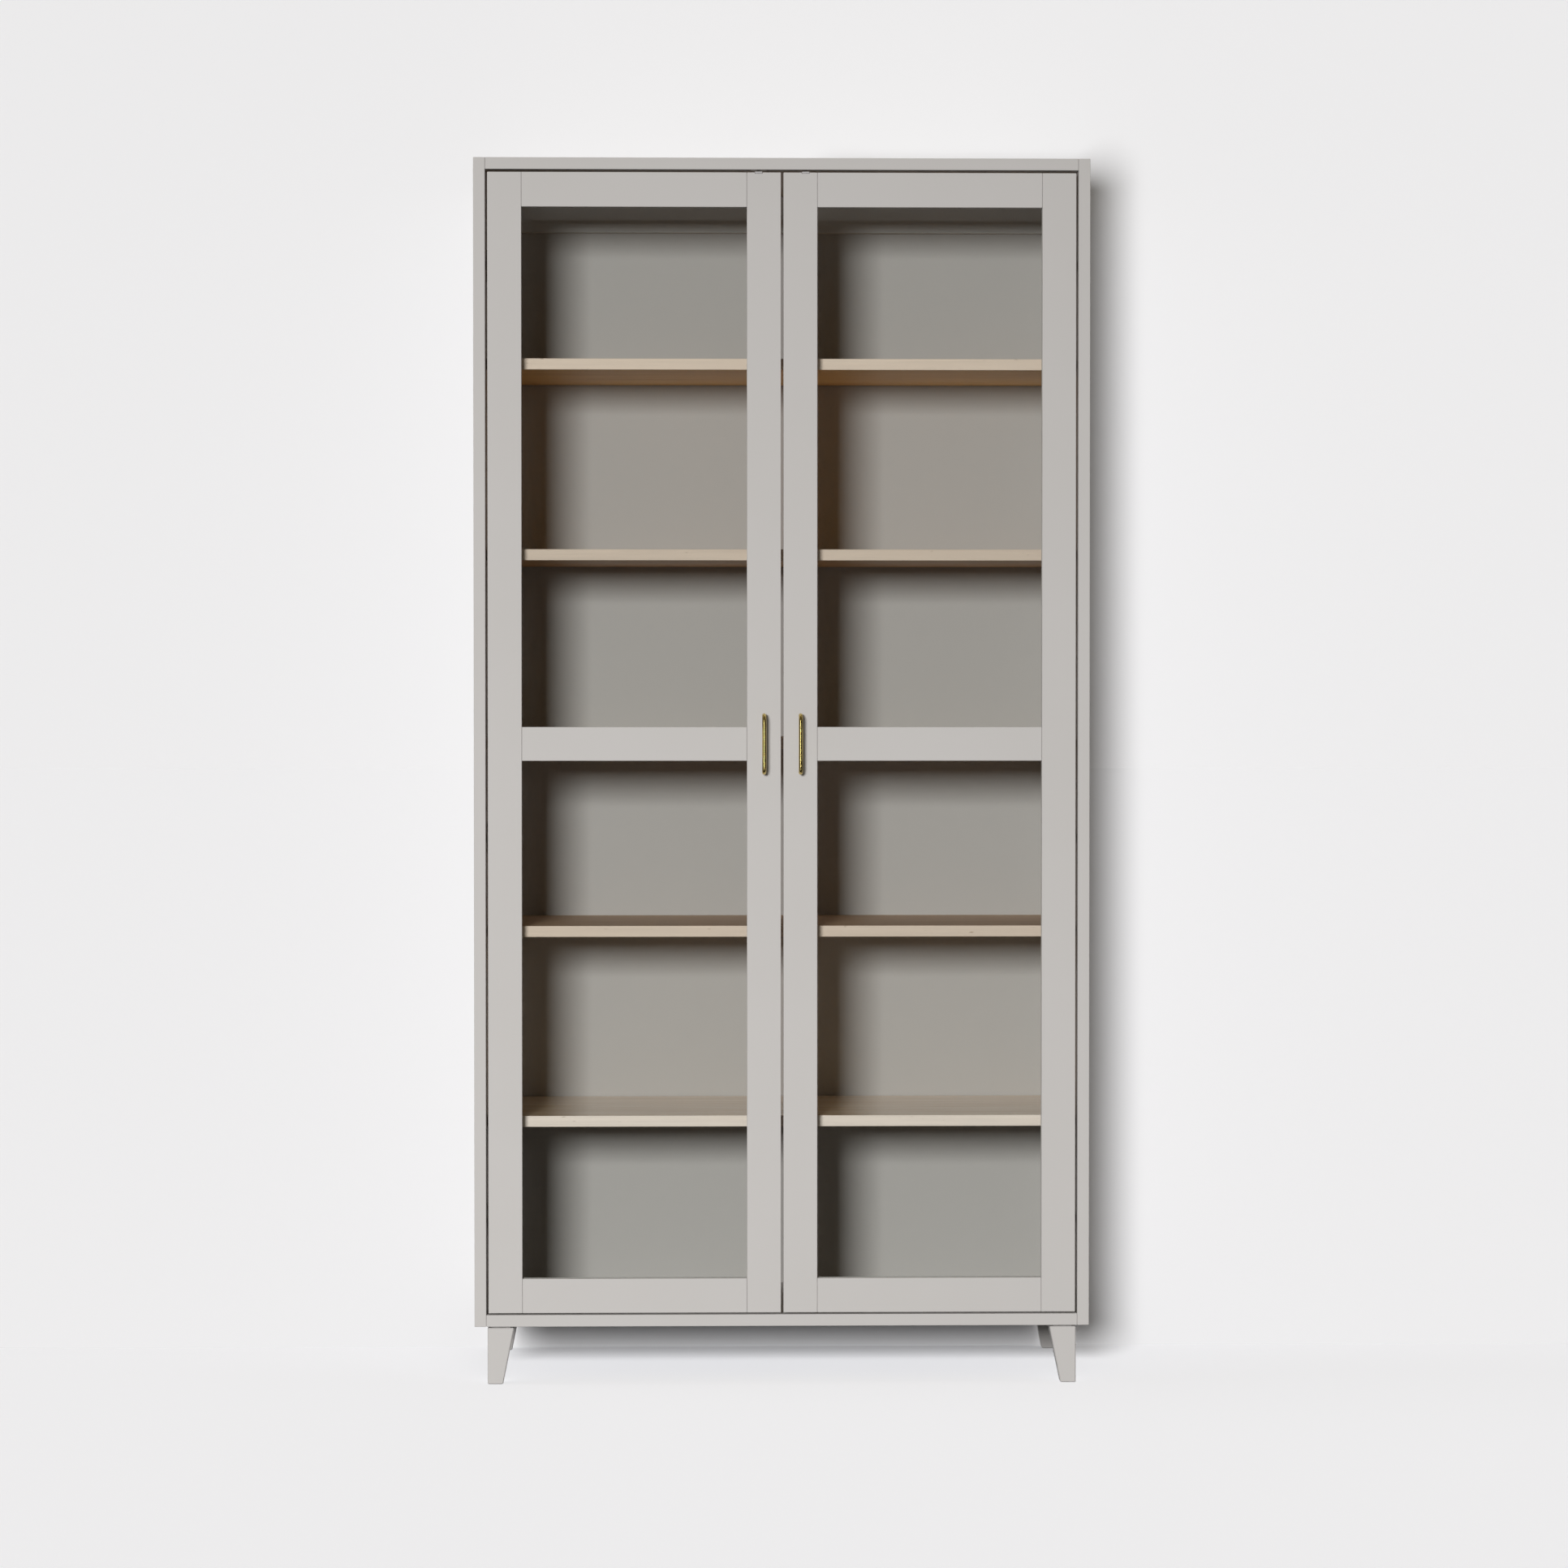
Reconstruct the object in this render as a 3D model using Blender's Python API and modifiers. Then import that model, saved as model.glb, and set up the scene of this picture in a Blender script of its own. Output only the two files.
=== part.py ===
"""Tall display cabinet with two glazed doors, built up from its separate pieces.

Metres, +Z up, front facing -Y. The origin lies on the floor under the middle of the
cabinet's overall box, handles included.
"""
import math

import bmesh
import bpy
from mathutils import Matrix, Vector

# Case
WIDTH = 1.000
DEPTH = 0.400
HEIGHT = 1.990
LEG_HEIGHT = 0.094
BOARD_THICK = 0.019
EDGE_EASE = 0.0006
SEAT_GAP = 0.0003

# Back panel and the rail across the top of it
BACK_THICK = 0.006
BACK_RECESS = 0.006
BACK_GROOVE = 0.008
BACK_PLAY = 0.0005
REAR_RAIL_HEIGHT = 0.062
REAR_RAIL_THICK = 0.018

# Shelves
SHELF_THICK = 0.018
SHELF_SETBACK = 0.036
SHELF_BACK_GAP = 0.0015
SHELF_END_GAP = 0.0008
HOUSING_DEPTH = 0.006
MIDDLE_BAY_HEIGHT = 0.289
NEXT_BAY_HEIGHT = 0.2922

# Shelf pins and their spare holes
PIN_RADIUS = 0.0025
PIN_REACH = 0.008
PIN_FROM_SHELF_EDGE = 0.045
PIN_HOLE_DEPTH = 0.010
PIN_HOLE_STEP = 0.032

# Dowels that join the top and bottom to the sides
DOWEL_RADIUS = 0.004
DOWEL_REACH = 0.012
DOWEL_FROM_EDGE = 0.060

# Legs
LEG_TOP = 0.043
LEG_FOOT = 0.025
LEG_SIDE_INSET = 0.021
LEG_FACE_INSET = 0.003
LEG_EASE = 0.0015
LEG_NECK = 0.029
LEG_NECK_HEIGHT = 0.0024
LEG_STUD_RADIUS = 0.004
LEG_STUD_REACH = 0.015

# Doors
DOOR_THICK = 0.020
DOOR_SIDE_GAP = 0.0037
DOOR_TOP_GAP = 0.0045
DOOR_BOTTOM_GAP = 0.003
MEETING_GAP = 0.0042
STILE_WIDTH = 0.055
RAIL_HEIGHT = 0.056
MIDDLE_RAIL_HEIGHT = 0.0548
TENON_LENGTH = 0.020
TENON_THICK = 0.007
TENON_SHOULDER = 0.002
TENON_END_PLAY = 0.001
GLASS_LIP = 0.007
REBATE_WIDTH = 0.009
GLASS_THICK = 0.004
GLASS_PLAY = 0.001

# Handles
HANDLE_CENTRES = 0.0932
HANDLE_ROD_RADIUS = 0.0033
HANDLE_REACH = 0.029
HANDLE_BEND_RADIUS = 0.009

# Concealed hinges
CUP_RADIUS = 0.0175
CUP_EDGE = 0.0225
CUP_BORE_DEPTH = 0.014
CUP_WALL = 0.0008
FLANGE_THICK = 0.0012
FLANGE_LENGTH = 0.062
FLANGE_WIDTH = 0.020
FLANGE_CORNER = 0.008
FLANGE_HOLE_SPACING = 0.048
PIN_EDGE = 0.020
PIN_FACE = 0.0103
HINGE_PIN_RADIUS = 0.0015
HINGE_PIN_PLAY = 0.0002
KNUCKLE_RADIUS = 0.0027
ARM_WIDTH = 0.012
ARM_THICK = 0.002
ARM_LENGTH = 0.038
ARM_BEND_RADIUS = 0.003
ARM_SLOT_LENGTH = 0.012
ARM_SLOT_WIDTH = 0.0048
ARM_SLOT_FROM_END = 0.005
HINGE_CLEARANCE = 0.001
PLATE_THICK = 0.003
PLATE_LENGTH = 0.046
PLATE_SPAN = 0.052
PLATE_ARM = 0.014
PLATE_CORNER = 0.003
PLATE_HOLE_SPACING = 0.032
SCREW_HOLE_RADIUS = 0.0021
HINGE_BAYS = (0, 2, 5)

# Ball catches
CATCH_FROM_EDGE = 0.036
CATCH_RADIUS = 0.0057
CATCH_LENGTH = 0.018
CATCH_WALL = 0.0008
CATCH_FACE_WIDTH = 0.012
CATCH_FACE_RISE = 0.0015
CATCH_FACE_DROP = 0.0017
BALL_RADIUS = 0.0046
BALL_PLAY = 0.0002
BALL_RISE = 0.0024
STRIKE_THICK = 0.0008
STRIKE_LENGTH = 0.026
STRIKE_WIDTH = 0.013
STRIKE_CORNER = 0.003
STRIKE_HOLE_SPACING = 0.017
STRIKE_HOLE_RADIUS = 0.0015
STRIKE_DIMPLE_RADIUS = 0.0025

# Facets of round pieces
CUP_SIDES = 32
PIN_SIDES = 12
BALL_SIDES = 16
BEND_STEPS = 4
CORNER_STEPS = 3

# Levels and faces that follow from the sizes above
FRONT = (HANDLE_REACH - DEPTH) / 2
BACK = FRONT + DEPTH
INNER_X = WIDTH / 2 - BOARD_THICK
CASE_FLOOR = LEG_HEIGHT + BOARD_THICK
CASE_CEILING = HEIGHT - BOARD_THICK
BACK_PANEL_FRONT = BACK - BACK_RECESS - BACK_THICK
MIDDLE_SHELF_TOP = (CASE_FLOOR + CASE_CEILING + SHELF_THICK) / 2
SHELF_TOPS = [
    MIDDLE_SHELF_TOP - MIDDLE_BAY_HEIGHT - NEXT_BAY_HEIGHT - 2 * SHELF_THICK,
    MIDDLE_SHELF_TOP - MIDDLE_BAY_HEIGHT - SHELF_THICK,
    MIDDLE_SHELF_TOP,
    MIDDLE_SHELF_TOP + MIDDLE_BAY_HEIGHT + SHELF_THICK,
    MIDDLE_SHELF_TOP + MIDDLE_BAY_HEIGHT + NEXT_BAY_HEIGHT + 2 * SHELF_THICK,
]
LOOSE_TOPS = [top for top in SHELF_TOPS if top != MIDDLE_SHELF_TOP]
SHELF_FRONT = FRONT + SHELF_SETBACK
SHELF_BACK = BACK_PANEL_FRONT - SHELF_BACK_GAP
DOOR_WIDTH = INNER_X - DOOR_SIDE_GAP - MEETING_GAP / 2
DOOR_BOTTOM = CASE_FLOOR + DOOR_BOTTOM_GAP
DOOR_TOP = CASE_CEILING - DOOR_TOP_GAP
DOOR_BACK = FRONT + DOOR_THICK
DOOR_MIDDLE = (DOOR_BOTTOM + DOOR_TOP) / 2

# Finishes: colour, roughness, metallic
FINISHES = {
    "greige_lacquer": ((0.52, 0.49, 0.46), 0.45, 0.0),
    "birch_veneer": ((0.62, 0.50, 0.36), 0.50, 0.0),
    "clear_glass": ((0.85, 0.90, 0.88), 0.03, 0.0),
    "polished_brass": ((0.72, 0.52, 0.20), 0.20, 1.0),
    "nickel_plate": ((0.62, 0.62, 0.60), 0.30, 1.0),
    "pale_nylon": ((0.56, 0.54, 0.54), 0.40, 0.0),
}
SMOOTH_ANGLE = math.radians(40)

ALONG = {
    "X": Matrix.Rotation(math.pi / 2, 4, "Y"),
    "Y": Matrix.Rotation(-math.pi / 2, 4, "X"),
    "Z": Matrix.Identity(4),
}


def clear_scene():
    """Remove whatever the scene holds."""
    for item in list(bpy.data.objects):
        bpy.data.objects.remove(item)


def new_collection(name, hidden=False):
    """A collection linked to the scene."""
    group = bpy.data.collections.new(name)
    bpy.context.scene.collection.children.link(group)
    group.hide_render = hidden
    return group


def finish_material(name):
    """The finish's material, made the first time it is asked for."""
    if name in bpy.data.materials:
        return bpy.data.materials[name]
    colour, roughness, metallic = FINISHES[name]
    material = bpy.data.materials.new(name)
    material.use_nodes = True
    shader = material.node_tree.nodes["Principled BSDF"]
    shader.inputs["Base Color"].default_value = (*colour, 1.0)
    shader.inputs["Roughness"].default_value = roughness
    shader.inputs["Metallic"].default_value = metallic
    return material


def mesh_from(name, add_shapes):
    """A mesh filled by add_shapes, which gets an empty bmesh."""
    shape = bmesh.new()
    add_shapes(shape)
    mesh = bpy.data.meshes.new(name)
    shape.to_mesh(mesh)
    shape.free()
    return mesh


def add_box(shape, x, y, z):
    """A box between two limits on each axis."""
    low, high = Vector((x[0], y[0], z[0])), Vector((x[1], y[1], z[1]))
    place = Matrix.Translation((low + high) / 2)
    bmesh.ops.create_cube(shape, size=1.0, matrix=place @ Matrix.Diagonal((*(high - low), 1.0)))


def add_rod(shape, start, axis, length, radius, sides=PIN_SIDES):
    """A round rod of the given length from start along an axis."""
    turn = ALONG[axis]
    middle = Vector(start) + turn @ Vector((0, 0, length / 2))
    bmesh.ops.create_cone(shape, cap_ends=True, segments=sides, radius1=radius, radius2=radius,
                          depth=abs(length), matrix=Matrix.Translation(middle) @ turn)


def add_piece(name, mesh, finish, place=(0, 0, 0), parent=None, turn=0.0):
    """A named piece of the cabinet; place is in the cabinet's frame, turn is about Y."""
    piece = bpy.data.objects.new(name, mesh)
    PARTS.objects.link(piece)
    if not mesh.materials:
        mesh.materials.append(finish_material(finish))
    piece.parent = parent
    piece.location = Vector(place) - (parent.location if parent else Vector())
    piece.rotation_euler = (0, turn, 0)
    return piece


def keep_cutter(name, mesh):
    """A shape that cuts or joins other pieces, kept out of the cabinet."""
    cutter = bpy.data.objects.new(name, mesh)
    CUTTERS.objects.link(cutter)
    cutter.hide_render = True
    cutter.display_type = "WIRE"
    return cutter


def add_cutter(name, add_shapes):
    """A cutter made of simple shapes, which add_shapes puts into an empty bmesh."""
    return keep_cutter(name, mesh_from(name, add_shapes))


def combine(piece, other, operation):
    """Cut or join a piece with another shape."""
    modifier = piece.modifiers.new(f"{operation.lower()} {other.name}", "BOOLEAN")
    modifier.operation = operation
    modifier.solver = "EXACT"
    modifier.object = other


def ease_edges(piece, width=EDGE_EASE):
    """Take the sharpness off a board's edges."""
    bevel = piece.modifiers.new("eased edges", "BEVEL")
    bevel.width = width
    bevel.segments = 1
    bevel.limit_method = "ANGLE"


def add_board(name, x, y, z, finish, parent=None):
    """A rectangular board with eased edges between two limits on each axis."""
    middle = [sum(limits) / 2 for limits in (x, y, z)]
    local = [(low - centre, high - centre) for (low, high), centre in zip((x, y, z), middle)]
    board = add_piece(name, mesh_from(name, lambda shape: add_box(shape, *local)), finish, middle, parent)
    ease_edges(board)
    return board


def frozen_mesh(piece):
    """The piece's finished mesh; the piece itself is removed."""
    bpy.context.view_layer.update()
    mesh = bpy.data.meshes.new_from_object(piece.evaluated_get(bpy.context.evaluated_depsgraph_get()))
    weld = bmesh.new()
    weld.from_mesh(mesh)
    bmesh.ops.remove_doubles(weld, verts=weld.verts, dist=1e-6)
    weld.to_mesh(mesh)
    weld.free()
    mesh.shade_smooth()
    mesh.set_sharp_from_angle(angle=SMOOTH_ANGLE)
    bpy.data.objects.remove(piece)
    return mesh


def flat_outline(name, loops, thickness):
    """A plate in the XY plane: the first loop is its edge and further loops are holes."""
    curve = bpy.data.curves.new(name, "CURVE")
    curve.dimensions = "2D"
    curve.fill_mode = "BOTH"
    curve.extrude = thickness / 2
    for loop in loops:
        spline = curve.splines.new("POLY")
        spline.points.add(len(loop) - 1)
        for point, (x, y) in zip(spline.points, loop):
            point.co = (x, y, 0, 1)
        spline.use_cyclic_u = True
    return curve


def rectangle(half_x, half_y):
    """Corners of a rectangle about the origin."""
    return [(-half_x, -half_y), (half_x, -half_y), (half_x, half_y), (-half_x, half_y)]


def bent_path(corners, radius, steps=BEND_STEPS):
    """The corners' path with every inner corner rounded off by an arc of the radius."""
    points = [Vector(corners[0])]
    for before, corner, after in zip(corners, corners[1:], corners[2:]):
        corner = Vector(corner)
        back = (Vector(before) - corner).normalized()
        ahead = (Vector(after) - corner).normalized()
        half = back.angle(ahead) / 2
        centre = corner + (back + ahead).normalized() * (radius / math.sin(half))
        first = corner + back * (radius / math.tan(half)) - centre
        last = corner + ahead * (radius / math.tan(half)) - centre
        for step in range(steps + 1):
            points.append(centre + first.slerp(last, step / steps) * radius)
    points.append(Vector(corners[-1]))
    return points


def rounded_loop(corners, radius):
    """A closed outline with every corner rounded off."""
    return bent_path([corners[-1], *corners, corners[0]], radius, CORNER_STEPS)[1:-1]


def circle(x, y, radius):
    """A round outline about a point."""
    turns = [2 * math.pi * step / PIN_SIDES for step in range(PIN_SIDES)]
    return [(x + radius * math.cos(turn), y + radius * math.sin(turn)) for turn in turns]


def screw_holes(x, spacing, radius):
    """A pair of round holes, above and below the middle of a plate."""
    return [circle(x, side * spacing / 2, radius) for side in (-1, 1)]


def bay_middle(bay):
    """Height of the middle of a bay, counted from the bottom."""
    floors = [CASE_FLOOR, *SHELF_TOPS]
    ceilings = [*(top - SHELF_THICK for top in SHELF_TOPS), CASE_CEILING]
    return (floors[bay] + ceilings[bay]) / 2


def grown(limits, margin):
    """Limits moved apart by a margin at both ends."""
    return limits[0] - margin, limits[1] + margin


DOWEL_YS = (FRONT + DOWEL_FROM_EDGE, BACK - DOWEL_FROM_EDGE)
SHELF_PIN_YS = (SHELF_FRONT + PIN_FROM_SHELF_EDGE, SHELF_BACK - PIN_FROM_SHELF_EDGE)


def build_case():
    """Sides, top, bottom, back, rear rail and the fixed middle shelf, with their joints."""
    back_x = (-INNER_X - BACK_GROOVE, INNER_X + BACK_GROOVE)
    back_y = (BACK_PANEL_FRONT, BACK_PANEL_FRONT + BACK_THICK)
    back_z = (CASE_FLOOR - BACK_GROOVE, CASE_CEILING + BACK_GROOVE)
    add_board("back_panel", grown(back_x, -BACK_PLAY), back_y, grown(back_z, -BACK_PLAY), "greige_lacquer")
    groove = add_cutter("back_groove", lambda shape: add_box(
        shape, back_x, grown(back_y, SEAT_GAP), back_z))

    shelf_x = (-INNER_X - HOUSING_DEPTH, INNER_X + HOUSING_DEPTH)
    shelf_y = (SHELF_FRONT, SHELF_BACK)
    shelf_z = (MIDDLE_SHELF_TOP - SHELF_THICK, MIDDLE_SHELF_TOP)
    add_board("middle_shelf", grown(shelf_x, -SEAT_GAP), shelf_y, shelf_z, "birch_veneer")
    housing = add_cutter("middle_shelf_housing", lambda shape: add_box(
        shape, shelf_x, grown(shelf_y, SEAT_GAP), grown(shelf_z, SEAT_GAP)))

    rail_y = (BACK_PANEL_FRONT - SEAT_GAP - REAR_RAIL_THICK, BACK_PANEL_FRONT - SEAT_GAP)
    rail_z = (CASE_CEILING - SEAT_GAP - REAR_RAIL_HEIGHT, CASE_CEILING - SEAT_GAP)
    between = (SEAT_GAP - INNER_X, INNER_X - SEAT_GAP)
    add_board("rear_rail", between, rail_y, rail_z, "greige_lacquer")

    flat_boards = {
        "bottom_panel": (LEG_HEIGHT, CASE_FLOOR),
        "top_panel": (CASE_CEILING, HEIGHT),
    }
    dowel_levels = [sum(limits) / 2 for limits in flat_boards.values()]
    for (name, limits), level in zip(flat_boards.items(), dowel_levels):
        board = add_board(name, between, (FRONT, BACK), limits, "greige_lacquer")
        for y in DOWEL_YS:
            dowel = add_cutter(f"{name}_dowel", lambda shape: add_rod(
                shape, (-INNER_X - DOWEL_REACH, y, level), "X", 2 * (INNER_X + DOWEL_REACH), DOWEL_RADIUS))
            combine(board, dowel, "UNION")
        combine(board, groove, "DIFFERENCE")

    for name, side in (("left_side", -1), ("right_side", 1)):
        outer, inner = side * WIDTH / 2, side * INNER_X
        panel = add_board(name, sorted((outer, inner)), (FRONT, BACK), (LEG_HEIGHT, HEIGHT), "greige_lacquer")
        bores = add_cutter(f"{name}_bores", lambda shape: add_side_bores(shape, side, dowel_levels))
        pins = add_cutter(f"{name}_pins", lambda shape: add_shelf_pins(shape, side))
        for cutter in (groove, housing, bores):
            combine(panel, cutter, "DIFFERENCE")
        combine(panel, pins, "UNION")


def add_side_bores(shape, side, dowel_levels):
    """Dowel bores and the spare shelf-pin holes of one side panel."""
    start = side * (INNER_X - SEAT_GAP)
    for level in dowel_levels:
        for y in DOWEL_YS:
            depth = DOWEL_REACH + 2 * SEAT_GAP
            add_rod(shape, (start, y, level), "X", side * depth, DOWEL_RADIUS + SEAT_GAP)
    for top in LOOSE_TOPS:
        for y in SHELF_PIN_YS:
            for step in (-PIN_HOLE_STEP, PIN_HOLE_STEP):
                place = (start, y, shelf_pin_height(top) + step)
                add_rod(shape, place, "X", side * PIN_HOLE_DEPTH, PIN_RADIUS)


def add_shelf_pins(shape, side):
    """Shelf pins pushed into one side panel."""
    for top in LOOSE_TOPS:
        for y in SHELF_PIN_YS:
            place = (side * (INNER_X + PIN_HOLE_DEPTH), y, shelf_pin_height(top))
            add_rod(shape, place, "X", -side * (PIN_HOLE_DEPTH + PIN_REACH), PIN_RADIUS)


def shelf_pin_height(top):
    """Height of the pins' axis under a loose shelf whose top face is given."""
    return top - SHELF_THICK - SEAT_GAP - PIN_RADIUS


def build_loose_shelves():
    """The four shelves that lie on pins."""
    half = INNER_X - SHELF_END_GAP
    for number, top in enumerate(reversed(LOOSE_TOPS), start=1):
        add_board(f"shelf_{number}", (-half, half), (SHELF_FRONT, SHELF_BACK), (top - SHELF_THICK, top),
                  "birch_veneer")


def leg_mesh():
    """A leg tapered on its two inner faces; its outer corner stands at the origin, inside is +X +Y."""
    def shapes(shape):
        height = LEG_HEIGHT - LEG_NECK_HEIGHT
        add_box(shape, (0, LEG_TOP), (0, LEG_TOP), (0, height))
        foot = [vertex for vertex in shape.verts if vertex.co.z < height / 2]
        ratio = LEG_FOOT / LEG_TOP
        bmesh.ops.scale(shape, vec=(ratio, ratio, 1), verts=foot)
    return mesh_from("leg", shapes)


def build_legs(bottom_panel):
    """Four legs, each with a short neck and a stud let into the bottom panel."""
    for row, face, depth_sign in (("front", FRONT + LEG_FACE_INSET, 1), ("rear", BACK - LEG_FACE_INSET, -1)):
        for side_name, side in (("left", -1), ("right", 1)):
            name = f"{row}_{side_name}_leg"
            mesh = leg_mesh()
            mesh.transform(Matrix.Diagonal((-side, depth_sign, 1, 1)))
            if -side * depth_sign < 0:
                mesh.flip_normals()
            corner = Vector((side * (WIDTH / 2 - LEG_SIDE_INSET), face, 0))
            leg = add_piece(name, mesh, "greige_lacquer", corner)
            ease_edges(leg, LEG_EASE)
            middle = corner + Vector((-side * LEG_TOP / 2, depth_sign * LEG_TOP / 2, LEG_HEIGHT))
            root = middle - Vector((0, 0, LEG_STUD_REACH))
            neck_x, neck_y = [grown((value, value), LEG_NECK / 2) for value in middle.xy]
            neck_z = (LEG_HEIGHT - 2 * LEG_NECK_HEIGHT, LEG_HEIGHT - SEAT_GAP)
            neck = add_cutter(f"{name}_neck", lambda shape: add_box(shape, neck_x, neck_y, neck_z))
            combine(leg, neck, "UNION")
            stud = add_cutter(f"{name}_stud", lambda shape: add_rod(
                shape, root, "Z", 2 * LEG_STUD_REACH, LEG_STUD_RADIUS))
            combine(leg, stud, "UNION")
            bore = add_cutter(f"{name}_bore", lambda shape: add_rod(
                shape, root, "Z", 2 * LEG_STUD_REACH + SEAT_GAP, LEG_STUD_RADIUS + SEAT_GAP))
            combine(bottom_panel, bore, "DIFFERENCE")


def hinge_cup_mesh():
    """A hinge cup about its pin: +X to the door's free edge, +Y to the back."""
    back_face = DOOR_THICK - PIN_FACE
    floor = back_face - CUP_BORE_DEPTH + SEAT_GAP
    rim = back_face + SEAT_GAP + FLANGE_THICK
    offset = CUP_EDGE - PIN_EDGE
    depth = rim - FLANGE_THICK / 2 - floor
    cup = add_piece("cup", mesh_from("cup", lambda shape: add_rod(
        shape, (offset, floor, 0), "Y", depth, CUP_RADIUS, CUP_SIDES)), "nickel_plate")
    outline = rounded_loop(rectangle(FLANGE_WIDTH / 2, FLANGE_LENGTH / 2), FLANGE_CORNER)
    holes = screw_holes(0, FLANGE_HOLE_SPACING, SCREW_HOLE_RADIUS)
    flange_mesh = frozen_mesh(add_piece(
        "cup_flange", flat_outline("cup_flange", [outline, *holes], FLANGE_THICK), "nickel_plate"))
    flange_mesh.transform(Matrix.Translation((offset, rim - FLANGE_THICK / 2, 0)) @ ALONG["Y"])
    flange = keep_cutter("cup_flange", flange_mesh)
    bowl = add_cutter("cup_bowl", lambda shape: add_rod(
        shape, (offset, floor + CUP_WALL, 0), "Y", rim - floor, CUP_RADIUS - CUP_WALL, CUP_SIDES))
    reach = math.sqrt((CUP_RADIUS - CUP_WALL / 2) ** 2 - offset ** 2)
    pin = add_cutter("hinge_pin", lambda shape: add_rod(
        shape, (0, 0, -reach), "Z", 2 * reach, HINGE_PIN_RADIUS))
    combine(cup, flange, "UNION")
    combine(cup, bowl, "DIFFERENCE")
    combine(cup, pin, "UNION")
    return frozen_mesh(cup)


def hinge_arm_path():
    """The arm's middle line about the pin: out of the cup, round the door's edge, along the side panel."""
    back_corner_sweep = math.hypot(PIN_EDGE, DOOR_THICK - PIN_FACE)
    bowl_half = math.sqrt((CUP_RADIUS - CUP_WALL) ** 2 - (ARM_WIDTH / 2) ** 2)
    neck = CUP_EDGE - PIN_EDGE + bowl_half - HINGE_CLEARANCE - ARM_THICK / 2
    tail = back_corner_sweep + HINGE_CLEARANCE + ARM_THICK / 2
    seat = plate_face() + SEAT_GAP + ARM_THICK / 2
    return [(0, 0), (neck, 0), (neck, tail), (seat, tail), (seat, tail + ARM_LENGTH)]


def plate_face():
    """Where the mounting plate's inner face lies, from the hinge pin."""
    return SEAT_GAP + PLATE_THICK - PIN_EDGE - DOOR_SIDE_GAP


def hinge_arm_mesh():
    """A cranked arm about its pin, folded from strip, with a knuckle round the pin."""
    def ribbon(shape):
        path = bent_path(hinge_arm_path(), ARM_BEND_RADIUS)
        row = [shape.verts.new((x, y, -ARM_WIDTH / 2)) for x, y in path]
        edges = [shape.edges.new(pair) for pair in zip(row, row[1:])]
        grown_strip = bmesh.ops.extrude_edge_only(shape, edges=edges)["geom"]
        top = [item for item in grown_strip if isinstance(item, bmesh.types.BMVert)]
        bmesh.ops.translate(shape, vec=(0, 0, ARM_WIDTH), verts=top)

    arm = add_piece("arm", mesh_from("arm", ribbon), "nickel_plate")
    strip = arm.modifiers.new("strip thickness", "SOLIDIFY")
    strip.thickness = ARM_THICK
    strip.offset = 0
    strip.use_even_offset = True
    knuckle = add_cutter("arm_knuckle", lambda shape: add_rod(
        shape, (0, 0, -ARM_WIDTH / 2), "Z", ARM_WIDTH, KNUCKLE_RADIUS, BALL_SIDES))
    bore = add_cutter("arm_bore", lambda shape: add_rod(
        shape, (0, 0, -ARM_WIDTH), "Z", 2 * ARM_WIDTH, HINGE_PIN_RADIUS + HINGE_PIN_PLAY))
    seat, end = hinge_arm_path()[-1]
    slot_y = (end - ARM_SLOT_FROM_END - ARM_SLOT_LENGTH, end - ARM_SLOT_FROM_END)
    slot = add_cutter("arm_slot", lambda shape: add_box(
        shape, grown((seat, seat), ARM_THICK), slot_y, grown((0, 0), ARM_SLOT_WIDTH / 2)))
    combine(arm, knuckle, "UNION")
    combine(arm, bore, "DIFFERENCE")
    combine(arm, slot, "DIFFERENCE")
    return frozen_mesh(arm)


def hinge_plate_mesh():
    """A cross-shaped mounting plate with two screw holes, in the arm's frame."""
    path = hinge_arm_path()
    middle = path[-2][1] + ARM_LENGTH / 2
    arm, length, span = PLATE_ARM / 2, PLATE_LENGTH / 2, PLATE_SPAN / 2
    cross = [(-length, -arm), (-arm, -arm), (-arm, -span), (arm, -span), (arm, -arm), (length, -arm),
             (length, arm), (arm, arm), (arm, span), (-arm, span), (-arm, arm), (-length, arm)]
    loops = [rounded_loop(cross, PLATE_CORNER), *screw_holes(0, PLATE_HOLE_SPACING, SCREW_HOLE_RADIUS)]
    plate = add_piece("plate", flat_outline("plate", loops, PLATE_THICK), "nickel_plate")
    mesh = frozen_mesh(plate)
    upright = Matrix(((0, 0, -1, 0), (1, 0, 0, 0), (0, -1, 0, 0), (0, 0, 0, 1)))
    mesh.transform(Matrix.Translation((plate_face() - PLATE_THICK / 2, middle, 0)) @ upright)
    return mesh


def build_hinges(side_name, side, axis, meshes):
    """Three hinges of one door: plates and arms on the case, cups in the hinge stile."""
    turn = 0.0 if side < 0 else math.pi
    for number, bay in enumerate(HINGE_BAYS, start=1):
        place = (axis.location.x, axis.location.y, bay_middle(bay))
        cup, arm, plate = meshes
        add_piece(f"{side_name}_hinge_cup_{number}", cup, "nickel_plate", place, axis, turn)
        add_piece(f"{side_name}_hinge_arm_{number}", arm, "nickel_plate", place, None, turn)
        add_piece(f"{side_name}_hinge_plate_{number}", plate, "nickel_plate", place, None, turn)


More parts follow.
